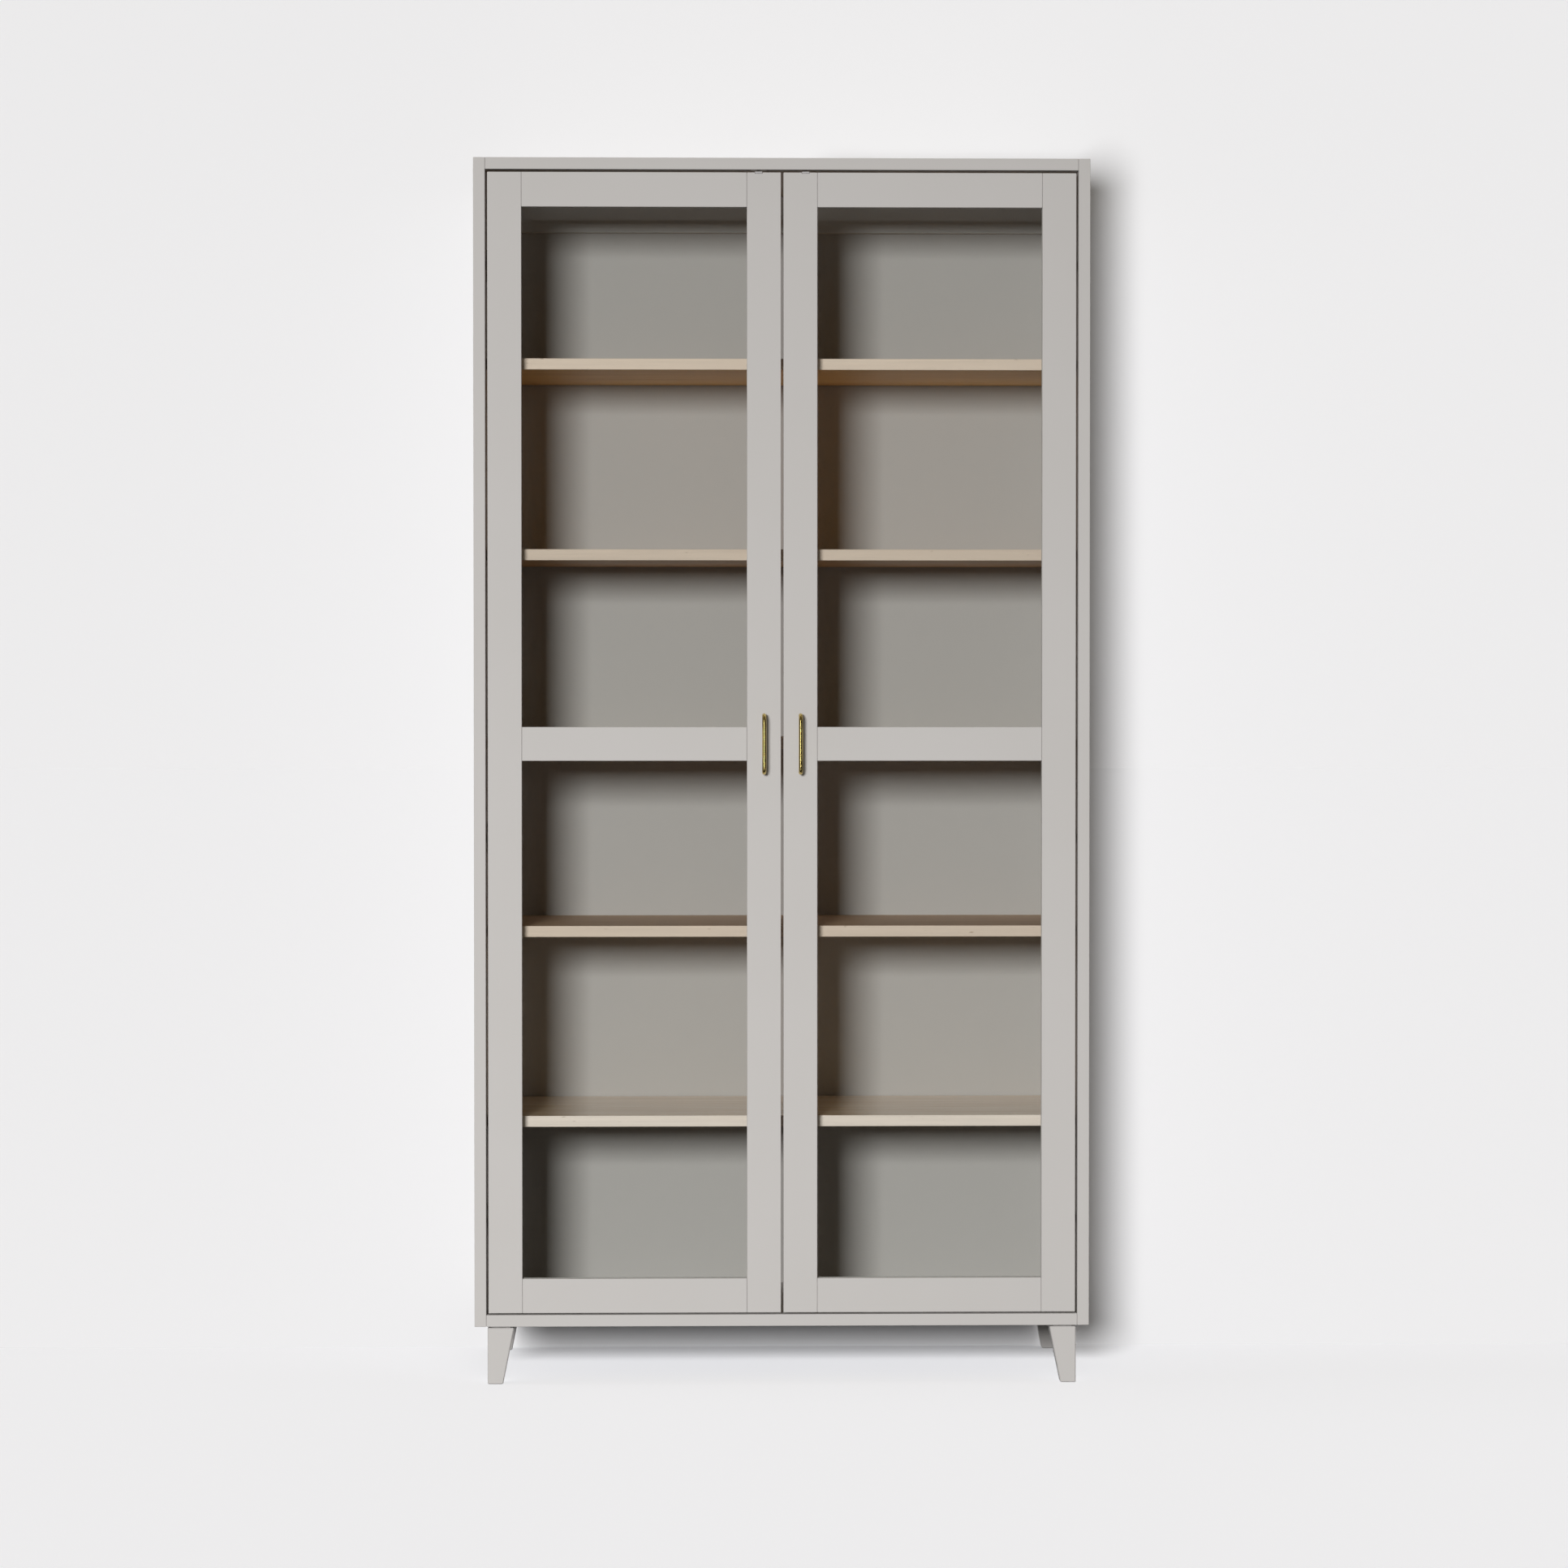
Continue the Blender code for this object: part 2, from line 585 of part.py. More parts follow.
def build_door(side_name, side):
    """One door's frame, panes, beads, handle and catch; returns the empty on its hinge axis."""
    hinge_edge = side * (INNER_X - DOOR_SIDE_GAP)
    free_edge = hinge_edge - side * DOOR_WIDTH
    axis = bpy.data.objects.new(f"{side_name}_door_axis", None)
    PARTS.objects.link(axis)
    axis.location = (hinge_edge - side * PIN_EDGE, FRONT + PIN_FACE, 0)

    pane_x = sorted((hinge_edge - side * STILE_WIDTH, free_edge + side * STILE_WIDTH))
    rail_z = {
        "bottom": (DOOR_BOTTOM, DOOR_BOTTOM + RAIL_HEIGHT),
        "middle": grown((DOOR_MIDDLE, DOOR_MIDDLE), MIDDLE_RAIL_HEIGHT / 2),
        "top": (DOOR_TOP - RAIL_HEIGHT, DOOR_TOP),
    }
    pane_z = {
        "lower": (rail_z["bottom"][1], rail_z["middle"][0]),
        "upper": (rail_z["middle"][1], rail_z["top"][0]),
    }
    recesses = [build_pane(f"{side_name}_{name}", pane_x, limits, axis) for name, limits in pane_z.items()]
    beside_pane = REBATE_WIDTH + TENON_SHOULDER
    beside_edge = CATCH_LENGTH + TENON_SHOULDER
    shoulders = {
        "bottom": (beside_edge, beside_pane),
        "middle": (beside_pane, beside_pane),
        "top": (beside_pane, beside_edge),
    }
    mortises = []
    for name, limits in rail_z.items():
        rail, mortise = build_rail(f"{side_name}_{name}_rail", pane_x, limits, shoulders[name], axis)
        for recess in recesses:
            combine(rail, recess, "DIFFERENCE")
        mortises.append(mortise)

    stiles = {}
    for name, edge, inward in (("hinge", hinge_edge, -side), ("meeting", free_edge, side)):
        limits = sorted((edge, edge + inward * STILE_WIDTH))
        stile = add_board(f"{side_name}_{name}_stile", limits, (FRONT, DOOR_BACK), (DOOR_BOTTOM, DOOR_TOP),
                          "greige_lacquer", axis)
        for cutter in recesses + mortises:
            combine(stile, cutter, "DIFFERENCE")
        stiles[name] = stile

    cup_x = hinge_edge - side * CUP_EDGE
    for number, bay in enumerate(HINGE_BAYS, start=1):
        place = (cup_x, DOOR_BACK - CUP_BORE_DEPTH, bay_middle(bay))
        bore = add_cutter(f"{side_name}_cup_bore_{number}", lambda shape: add_rod(
            shape, place, "Y", CUP_BORE_DEPTH + DOOR_THICK, CUP_RADIUS + SEAT_GAP, CUP_SIDES))
        combine(stiles["hinge"], bore, "DIFFERENCE")
    build_handle(side_name, free_edge + side * STILE_WIDTH / 2, axis)
    catch_x = free_edge + side * CATCH_FROM_EDGE
    build_catch(side_name, catch_x, stiles["meeting"], axis)
    build_strike(side_name, catch_x)
    return axis


def build_rail(name, pane_x, limits, shoulders, axis):
    """A rail with a stub tenon at each end, and the cutter for its two mortises."""
    rail = add_board(name, grown(pane_x, -SEAT_GAP), (FRONT, DOOR_BACK), limits, "greige_lacquer", axis)
    middle_y = FRONT + DOOR_THICK / 2
    tenon_y = (middle_y - TENON_THICK / 2, middle_y + TENON_THICK / 2)
    tenon_z = (limits[0] + shoulders[0], limits[1] - shoulders[1])
    tenon = add_cutter(f"{name}_tenon", lambda shape: add_box(
        shape, grown(pane_x, TENON_LENGTH), tenon_y, tenon_z))
    combine(rail, tenon, "UNION")
    mortise_x = grown(pane_x, TENON_LENGTH + TENON_END_PLAY)
    mortise = add_cutter(f"{name}_mortise", lambda shape: add_box(
        shape, mortise_x, grown(tenon_y, SEAT_GAP), grown(tenon_z, SEAT_GAP)))
    return rail, mortise


def build_pane(name, pane_x, pane_z, axis):
    """A pane and the bead ring behind it; returns the cutter for the rebate that holds both."""
    recess_x, recess_z = grown(pane_x, REBATE_WIDTH), grown(pane_z, REBATE_WIDTH)
    glass_y = (FRONT + GLASS_LIP + SEAT_GAP, FRONT + GLASS_LIP + SEAT_GAP + GLASS_THICK)
    add_board(f"{name}_glass", grown(recess_x, -GLASS_PLAY), glass_y, grown(recess_z, -GLASS_PLAY),
              "clear_glass", axis)
    bead_y = (glass_y[1] + SEAT_GAP, DOOR_BACK)
    half_x, half_z = (pane_x[1] - pane_x[0]) / 2, (pane_z[1] - pane_z[0]) / 2
    margin = REBATE_WIDTH - SEAT_GAP
    loops = [rectangle(half_x + margin, half_z + margin), rectangle(half_x, half_z)]
    bead = add_piece(f"{name}_bead", flat_outline(name, loops, bead_y[1] - bead_y[0]), "greige_lacquer",
                     (sum(pane_x) / 2, sum(bead_y) / 2, sum(pane_z) / 2), axis)
    bead.rotation_euler = (math.pi / 2, 0, 0)
    return add_cutter(f"{name}_recess", lambda shape: add_box(
        shape, recess_x, (FRONT + GLASS_LIP, DOOR_BACK + GLASS_LIP), recess_z))


def build_handle(side_name, x, axis):
    """A bow handle: one rod with both ends bent back to the stile."""
    curve = bpy.data.curves.new(f"{side_name}_handle", "CURVE")
    curve.dimensions = "3D"
    curve.bevel_depth = HANDLE_ROD_RADIUS
    curve.bevel_resolution = 3
    curve.use_fill_caps = True
    half, out = HANDLE_CENTRES / 2, HANDLE_ROD_RADIUS - HANDLE_REACH
    corners = [(-SEAT_GAP, -half), (out, -half), (out, half), (-SEAT_GAP, half)]
    path = bent_path(corners, HANDLE_BEND_RADIUS)
    spline = curve.splines.new("POLY")
    spline.points.add(len(path) - 1)
    for point, (y, z) in zip(spline.points, path):
        point.co = (0, y, z, 1)
    add_piece(f"{side_name}_handle", curve, "polished_brass", (x, FRONT, DOOR_MIDDLE), axis)


def build_catch(side_name, x, stile, axis):
    """A ball catch let into the top edge of a meeting stile, with its face flush with the door's front."""
    y = FRONT + DOOR_THICK / 2
    foot = DOOR_TOP - CATCH_LENGTH
    face_x = grown((x, x), CATCH_FACE_WIDTH / 2)
    face_z = (DOOR_TOP - CATCH_FACE_DROP, DOOR_TOP + CATCH_FACE_RISE)
    housing = add_board(f"{side_name}_catch_housing", face_x, (FRONT, DOOR_BACK), face_z, "pale_nylon", axis)
    tube = add_cutter(f"{side_name}_catch_tube", lambda shape: add_rod(
        shape, (x, y, foot), "Z", CATCH_LENGTH, CATCH_RADIUS, BALL_SIDES))
    combine(housing, tube, "UNION")
    mouth = math.sqrt((BALL_RADIUS + BALL_PLAY) ** 2 - (BALL_RADIUS - BALL_RISE - CATCH_WALL) ** 2)
    hollows = (
        ("well", foot + CATCH_WALL, face_z[1] - CATCH_WALL, CATCH_RADIUS - CATCH_WALL),
        ("mouth", DOOR_TOP, face_z[1] + CATCH_WALL, mouth),
    )
    for name, low, high, radius in hollows:
        hollow = add_cutter(f"{side_name}_catch_{name}", lambda shape: add_rod(
            shape, (x, y, low), "Z", high - low, radius, BALL_SIDES))
        combine(housing, hollow, "DIFFERENCE")
    bore = add_cutter(f"{side_name}_catch_bore", lambda shape: add_rod(
        shape, (x, y, foot - SEAT_GAP), "Z", CATCH_LENGTH, CATCH_RADIUS + SEAT_GAP, BALL_SIDES))
    notch = add_cutter(f"{side_name}_catch_notch", lambda shape: add_box(
        shape, grown(face_x, SEAT_GAP), grown((FRONT, DOOR_BACK), SEAT_GAP), grown(face_z, SEAT_GAP)))
    for cutter in (bore, notch):
        combine(stile, cutter, "DIFFERENCE")

    ball = mesh_from("catch_ball", lambda shape: bmesh.ops.create_uvsphere(
        shape, u_segments=BALL_SIDES, v_segments=BALL_SIDES // 2, radius=BALL_RADIUS))
    ball.shade_smooth()
    ball_z = face_z[1] + BALL_RISE - BALL_RADIUS
    add_piece(f"{side_name}_catch_ball", ball, "nickel_plate", (x, y, ball_z), axis)


def build_strike(side_name, x):
    """A catch's strike plate, let in flush with the underside of the top panel."""
    y = FRONT + DOOR_THICK / 2
    half_x, half_y = STRIKE_LENGTH / 2, STRIKE_WIDTH / 2
    edge = rounded_loop(rectangle(half_x, half_y), STRIKE_CORNER)
    holes = [circle(side * STRIKE_HOLE_SPACING / 2, 0, STRIKE_HOLE_RADIUS) for side in (-1, 1)]
    dimple = circle(0, 0, STRIKE_DIMPLE_RADIUS)
    strike = flat_outline("strike", [edge, dimple, *holes], STRIKE_THICK)
    add_piece(f"{side_name}_strike_plate", strike, "nickel_plate", (x, y, CASE_CEILING + STRIKE_THICK / 2))
    around = rounded_loop(rectangle(half_x + SEAT_GAP, half_y + SEAT_GAP), STRIKE_CORNER)
    routed = flat_outline("strike_recess", [around], 2 * (STRIKE_THICK + SEAT_GAP))
    recess_mesh = frozen_mesh(add_piece("strike_recess", routed, "greige_lacquer"))
    recess_mesh.transform(Matrix.Translation((x, y, CASE_CEILING)))
    recess = keep_cutter(f"{side_name}_strike_recess", recess_mesh)
    combine(bpy.data.objects["top_panel"], recess, "DIFFERENCE")


clear_scene()
PARTS = new_collection("tall_display_cabinet")
CUTTERS = new_collection("cutters", hidden=True)
build_case()
build_loose_shelves()
build_legs(bpy.data.objects["bottom_panel"])
HINGE_MESHES = (hinge_cup_mesh(), hinge_arm_mesh(), hinge_plate_mesh())
for SIDE_NAME, SIDE in (("left", -1), ("right", 1)):
    AXIS = build_door(SIDE_NAME, SIDE)
    build_hinges(SIDE_NAME, SIDE, AXIS, HINGE_MESHES)
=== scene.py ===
"""Looks of a tall display cabinet with two glazed doors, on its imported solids.

Metres, +Z up, front facing -Y. The boards, doors, hinges and catches keep the places that
the solids give them; this file adds finishes, fine pieces and the studio.
"""
import math

import bmesh
import bpy
import numpy as np
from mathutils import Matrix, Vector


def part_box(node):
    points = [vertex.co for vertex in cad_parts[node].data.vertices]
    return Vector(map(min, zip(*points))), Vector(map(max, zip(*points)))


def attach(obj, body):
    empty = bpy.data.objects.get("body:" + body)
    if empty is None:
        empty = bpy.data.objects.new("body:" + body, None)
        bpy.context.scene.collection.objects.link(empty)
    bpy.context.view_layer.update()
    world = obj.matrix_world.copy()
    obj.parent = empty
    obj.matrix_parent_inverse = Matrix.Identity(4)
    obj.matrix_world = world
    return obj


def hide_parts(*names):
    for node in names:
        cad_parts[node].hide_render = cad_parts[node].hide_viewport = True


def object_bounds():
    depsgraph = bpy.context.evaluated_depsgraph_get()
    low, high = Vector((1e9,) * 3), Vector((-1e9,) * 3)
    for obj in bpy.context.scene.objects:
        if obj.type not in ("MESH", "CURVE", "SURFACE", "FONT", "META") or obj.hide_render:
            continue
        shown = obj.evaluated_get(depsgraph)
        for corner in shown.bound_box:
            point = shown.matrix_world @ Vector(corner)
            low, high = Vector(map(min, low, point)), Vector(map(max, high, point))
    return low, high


bl_info = {
    "name": "Tall display cabinet looks",
    "version": (1, 0, 0),
    "blender": (4, 5, 0),
    "location": "View3D > Sidebar > Cabinet",
    "description": "Finishes, fittings and studio for a tall display cabinet",
    "category": "Object",
}

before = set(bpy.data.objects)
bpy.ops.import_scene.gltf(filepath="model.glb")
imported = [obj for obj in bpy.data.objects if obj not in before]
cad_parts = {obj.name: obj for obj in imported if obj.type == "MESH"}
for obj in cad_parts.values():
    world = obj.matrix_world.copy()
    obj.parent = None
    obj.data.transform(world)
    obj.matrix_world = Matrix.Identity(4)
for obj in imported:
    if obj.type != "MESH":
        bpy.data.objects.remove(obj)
CAD_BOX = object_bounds()

SIDES = (("left", -1), ("right", 1))
PANES = ("upper", "lower")
LOOSE_SHELVES = ("shelf_1", "shelf_2", "shelf_3", "shelf_4")
SHELVES = (*LOOSE_SHELVES, "middle_shelf")
MM = 0.001

# Where the photograph was taken from: metres, degrees and millimetres of lens on a 36 mm sensor
CAMERA_PLACE = (-0.1581, -7.1884, 1.113)
CAMERA_TURN = -1.317
CAMERA_TILT = -1.119
CAMERA_LENS = 99.08
SENSOR_WIDTH = 36.0

# Each shelf's colour factors against the birch, as one factor or one each for red, green and blue,
# for its underside, its top and its lipping, and the middle of its roughness. The underside's and
# the top's factors are painted light and shade: they give each face the brightness and warmth that
# the light gave it, such as the warm shade under shelf_2 and the painted reflection on shelf_4's
# top. The lipping's factor sets how pale each shelf's front edge is
PLAIN_BIRCH = 1.0
SHELF_LIGHT_TONES = {
    "shelf_1": ((1.5, 1.24, 0.7), (1.3, 1.06, 0.72), 1.06, 0.5),
    "shelf_2": ((0.98, 0.74, 0.46), (1.3, 1.06, 0.72), 0.93, 0.5),
    "shelf_3": (PLAIN_BIRCH, (1.05, 0.97, 0.97), 0.96, 0.55),
    "shelf_4": (PLAIN_BIRCH, (1.58, 1.63, 1.74), (1.09, 1.16, 1.24), 0.14),
    "middle_shelf": (PLAIN_BIRCH, PLAIN_BIRCH, 1.0, 0.5),
}
LIPPING_DEPTH = 2 * MM
LIPPING_LATE_WOOD = 0.88

# Sizes of the finishes' patterns. Wood fibres, polishing marks and the nylon's grain are finer in
# truth; they are drawn this coarse so that they show, the nylon's grain in close views only
LACQUER_CLOUD = 220 * MM
ORANGE_PEEL = 2.5 * MM
ORANGE_PEEL_DEPTH = 0.1 * MM
BIRCH_STREAK = (450 * MM, 9 * MM, 9 * MM)
BIRCH_FIBRE = (40 * MM, 1.2 * MM, 1.2 * MM)
BIRCH_FIBRE_DEPTH = 0.1 * MM
BIRCH_FLECK = (14 * MM, 3.5 * MM, 3.5 * MM)
POLISHING_MARK = 2 * MM
NYLON_GRAIN = 0.4 * MM
NYLON_GRAIN_DEPTH = 0.05 * MM

# Limits of the patterns: roughness, and where streaks and flecks begin and are full
LACQUER_ROUGHNESS = (0.54, 0.64)
BRASS_ROUGHNESS = (0.145, 0.165)
NICKEL_ROUGHNESS = (0.26, 0.38)
NYLON_ROUGHNESS = 0.42
BIRCH_ROUGHNESS_SPREAD = 0.06
FIBRE_SHARE = 0.3
STREAK_LIMITS = (0.36, 0.66)
FLECK_LIMITS = (0.74, 0.82)
FLECK_STRENGTH = 0.7
NYLON_CONTRAST = 0.03
GLASS_MIRROR_HEAD_ON = 0.04

# Fittings, in metres from the solids that carry them
CASE_INSIDE = 481 * MM
SHELF_PIN_INSET = 45 * MM
SHELF_PIN_DROP = 2.8 * MM
SHELF_PIN_RADIUS = 2.65 * MM
SHELF_PIN_REACH = 8.3 * MM
PIN_COLLAR_THICK = 0.6 * MM
PIN_CHAMFER = 0.3 * MM
PIN_TIP_ROUND = 0.8 * MM
PIN_TIP_MIDDLE = (0.25 * MM, 0.3 * MM)
FLANGE_SCREW_SPREAD = 24 * MM
PLATE_SCREW_SPREAD = 16 * MM
ARM_SCREW_FROM_END = 11 * MM
HINGE_ARM_THICK = 2 * MM
STRIKE_SCREW_SPREAD = 8.5 * MM
SCREW_RISE = 1.5 * MM
STRIKE_SCREW_SHARE = 0.62
STRIKE_SCREW_RISE = 0.2 * MM
NAIL_INSET = 14 * MM
NAIL_RISE = 1.2 * MM
MITRE_GAP = 0.15 * MM
HANDLE_BEND = 9 * MM
HINGE_NUMBERS = (1, 2, 3)
SHARP_EDGE = math.radians(35)
MERGE_WITHIN = 1e-7

# Studio: a pale wall close behind the cabinet, a pale floor, one large softbox left of the camera,
# two panels behind, three panels that only the brass gets, and a lamp each for the high and the low
# backdrop
WALL_GAP = 6 * MM
STAGE_REACH = 9.0
SOFTBOX_PLACE = (-1.9, -9.12, 2.23)
SOFTBOX_SIZE = (1.8, 1.45)
SOFTBOX_POWER = 250.0
SOFTBOX_AIM = (-0.1, 0.0, -0.8)
SOFTBOX_SPREAD = 100.0
GLINT_PLACE = (-1.2, -8.9, 1.1)
GLINT_SIZE = (0.6, 3.0)
GLINT_AIM = (0.0, 0.0, 1.05)
GLINT_POWER = 110.0
SIDE_GLOW_PLACE = (-6.0, -4.0, 1.05)
SIDE_GLOW_SIZE = (4.0, 3.0)
SIDE_GLOW_POWER = 6.5
LOW_GLOW_PLACE = (-0.3, -1.3, 0.3)
LOW_GLOW_SIZE = (2.0, 0.8)
LOW_GLOW_POWER = 2.0
REAR_PANEL_PLACE = (2.5, 6.0, 1.6)
REAR_PANEL_SIZE = 2.0
REAR_PANEL_AIM = (0.0, 0.0, 1.0)
REAR_PANEL_POWER = 120.0
HIGH_LAMP_PLACE = (-1.92, -9.8, -1.0)
LOW_LAMP_PLACE = (-1.92, -9.8, 2.42)
BACKDROP_LAMP_STRENGTH = 2.79
BACKDROP_LAMP_SPREAD = 14.0
HIGH_WALL_GAIN = 1.054
FLOOR_GAIN = (2.545, 2.56, 2.595)
BACKDROP_BOUNCE = 0.25
FILL_FRONT = (0.115, 0.098, 0.066)
FILL_BEHIND = (1.1, 1.1, 1.1)
FILL_LOW = 0.06
FILL_TURN = 0.25
FILL_RISE = 0.45


def linear(code):
    """An sRGB hex colour as linear red, green and blue."""
    shares = [int(code[place:place + 2], 16) / 255 for place in (0, 2, 4)]
    return [
        share / 12.92 if share <= 0.04045 else ((share + 0.055) / 1.055) ** 2.4 for share in shares]


class CabinetColours(bpy.types.PropertyGroup):
    """Colours of the cabinet's finishes and of the studio."""

    lacquer: bpy.props.FloatVectorProperty(
        name="Lacquer", description="Greige lacquer of the case and the door frames",
        subtype="COLOR", size=3, min=0, max=1, default=linear("c6c3c1"))
    lacquer_deep: bpy.props.FloatVectorProperty(
        name="Lacquer, deeper", description="Lacquer where the coat lies thicker",
        subtype="COLOR", size=3, min=0, max=1, default=linear("c2bfbc"))
    birch: bpy.props.FloatVectorProperty(
        name="Birch", description="Pale early wood of the shelves' veneer",
        subtype="COLOR", size=3, min=0, max=1, default=linear("d2bb9f"))
    birch_late: bpy.props.FloatVectorProperty(
        name="Birch, late wood", description="Darker streaks of the shelves' veneer",
        subtype="COLOR", size=3, min=0, max=1, default=linear("b59877"))
    birch_lipping: bpy.props.FloatVectorProperty(
        name="Birch lipping", description="Solid birch along the shelves' front edges",
        subtype="COLOR", size=3, min=0, max=1, default=linear("e8d5c5"))
    birch_fleck: bpy.props.FloatVectorProperty(
        name="Birch flecks", description="Small brown flecks in the wood",
        subtype="COLOR", size=3, min=0, max=1, default=linear("8a6c4e"))
    glass: bpy.props.FloatVectorProperty(
        name="Glass", description="Tint of the float glass",
        subtype="COLOR", size=3, min=0, max=1, default=linear("fcfdfc"))
    brass: bpy.props.FloatVectorProperty(
        name="Brass", description="Brass of the handles",
        subtype="COLOR", size=3, min=0, max=1, default=linear("d9c27b"))
    nickel: bpy.props.FloatVectorProperty(
        name="Nickel", description="Nickel plate of hinges, catches and pins",
        subtype="COLOR", size=3, min=0, max=1, default=linear("d6d3cc"))
    # The back panel's greige is set darker than the case's, to how dark the back looks inside the
    # case
    back_lacquer: bpy.props.FloatVectorProperty(
        name="Back panel", description="Thinner lacquer of the back panel",
        subtype="COLOR", size=3, min=0, max=1, default=linear("b9b5b3"))
    back_lacquer_deep: bpy.props.FloatVectorProperty(
        name="Back panel, deeper", description="Back panel's lacquer where the coat lies thicker",
        subtype="COLOR", size=3, min=0, max=1, default=linear("b7b3b1"))
    nylon: bpy.props.FloatVectorProperty(
        name="Nylon", description="Moulded nylon of the catches",
        subtype="COLOR", size=3, min=0, max=1, default=linear("b9b6b6"))
    backdrop: bpy.props.FloatVectorProperty(
        name="Backdrop", description="Pale wall and floor of the studio",
        subtype="COLOR", size=3, min=0, max=1, default=linear("ededef"))


class CabinetSizes(bpy.types.PropertyGroup):
    """Sizes of the fine pieces."""

    bead_round: bpy.props.FloatProperty(
        name="Bead rounding", description="Radius of the glazing beads' visible edge",
        unit="LENGTH", min=1 * MM, max=7 * MM, default=4.5 * MM)
    screw_head: bpy.props.FloatProperty(
        name="Screw head", description="Diameter of the fittings' screw heads",
        unit="LENGTH", min=3 * MM, max=9 * MM, default=6.4 * MM)
    pin_collar: bpy.props.FloatProperty(
        name="Pin collar", description="Diameter of the shelf pins' collars",
        unit="LENGTH", min=6 * MM, max=10 * MM, default=8 * MM)
    nail_head: bpy.props.FloatProperty(
        name="Nail head", description="Diameter of the back panel's nail heads",
        unit="LENGTH", min=2 * MM, max=8 * MM, default=5 * MM)
    nail_pitch: bpy.props.FloatProperty(
        name="Nail spacing", description="Largest spacing of the back panel's nails",
        unit="LENGTH", min=50 * MM, max=300 * MM, default=150 * MM)


def add_node(tree, kind, values=(), links=(), **settings):
    """A shader node with its settings, its inputs' values and its inputs' sources."""
    made = tree.nodes.new(kind)
    for name, value in settings.items():
        setattr(made, name, value)
    for key, value in dict(values).items():
        made.inputs[key].default_value = value
    for key, source in dict(links).items():
        tree.links.new(source, made.inputs[key])
    return made


def empty_material(name):
    """A material with no nodes but its output, and the output's surface socket."""
    material = bpy.data.materials.new(name)
    material.use_nodes = True
    material.node_tree.nodes.clear()
    output = material.node_tree.nodes.new("ShaderNodeOutputMaterial")
    return material, material.node_tree, output.inputs["Surface"]


def greige_lacquer(name, pale, deep):
    """Satin lacquer sprayed on board: an even colour with faint clouds and fine orange peel."""
    material, tree, surface = empty_material(name)
    where = add_node(tree, "ShaderNodeTexCoord").outputs["Object"]
    clouds = add_node(
        tree, "ShaderNodeTexNoise", {"Scale": 1 / LACQUER_CLOUD, "Detail": 3.0}, {"Vector": where})
    colour = add_node(
        tree, "ShaderNodeMix", {6: (*pale, 1), 7: (*deep, 1)},
        {"Factor": clouds.outputs["Fac"]}, data_type="RGBA")
    peel = add_node(
        tree, "ShaderNodeTexNoise", {"Scale": 1 / ORANGE_PEEL, "Detail": 2.0}, {"Vector": where})
    sheen = add_node(
        tree, "ShaderNodeMapRange",
        {"To Min": LACQUER_ROUGHNESS[0], "To Max": LACQUER_ROUGHNESS[1]},
        {"Value": peel.outputs["Fac"]})
    bump = add_node(
        tree, "ShaderNodeBump", {"Strength": 0.10, "Distance": ORANGE_PEEL_DEPTH},
        {"Height": peel.outputs["Fac"]})
    shader = add_node(
        tree, "ShaderNodeBsdfPrincipled", {"IOR": 1.45, "Specular IOR Level": 0.3},
        {"Base Color": colour.outputs[2], "Roughness": sheen.outputs["Result"],
         "Normal": bump.outputs["Normal"]})
    tree.links.new(shader.outputs["BSDF"], surface)
    return material


def toned(colour, tone):
    """A colour times one factor, or one for each of its channels, as a shader's value."""
    return (*np.minimum(np.array(colour) * tone, 1.0), 1)


def stretched(size):
    """A pattern's length, width and height as the scale of a Mapping node."""
    return tuple(1 / length for length in size)


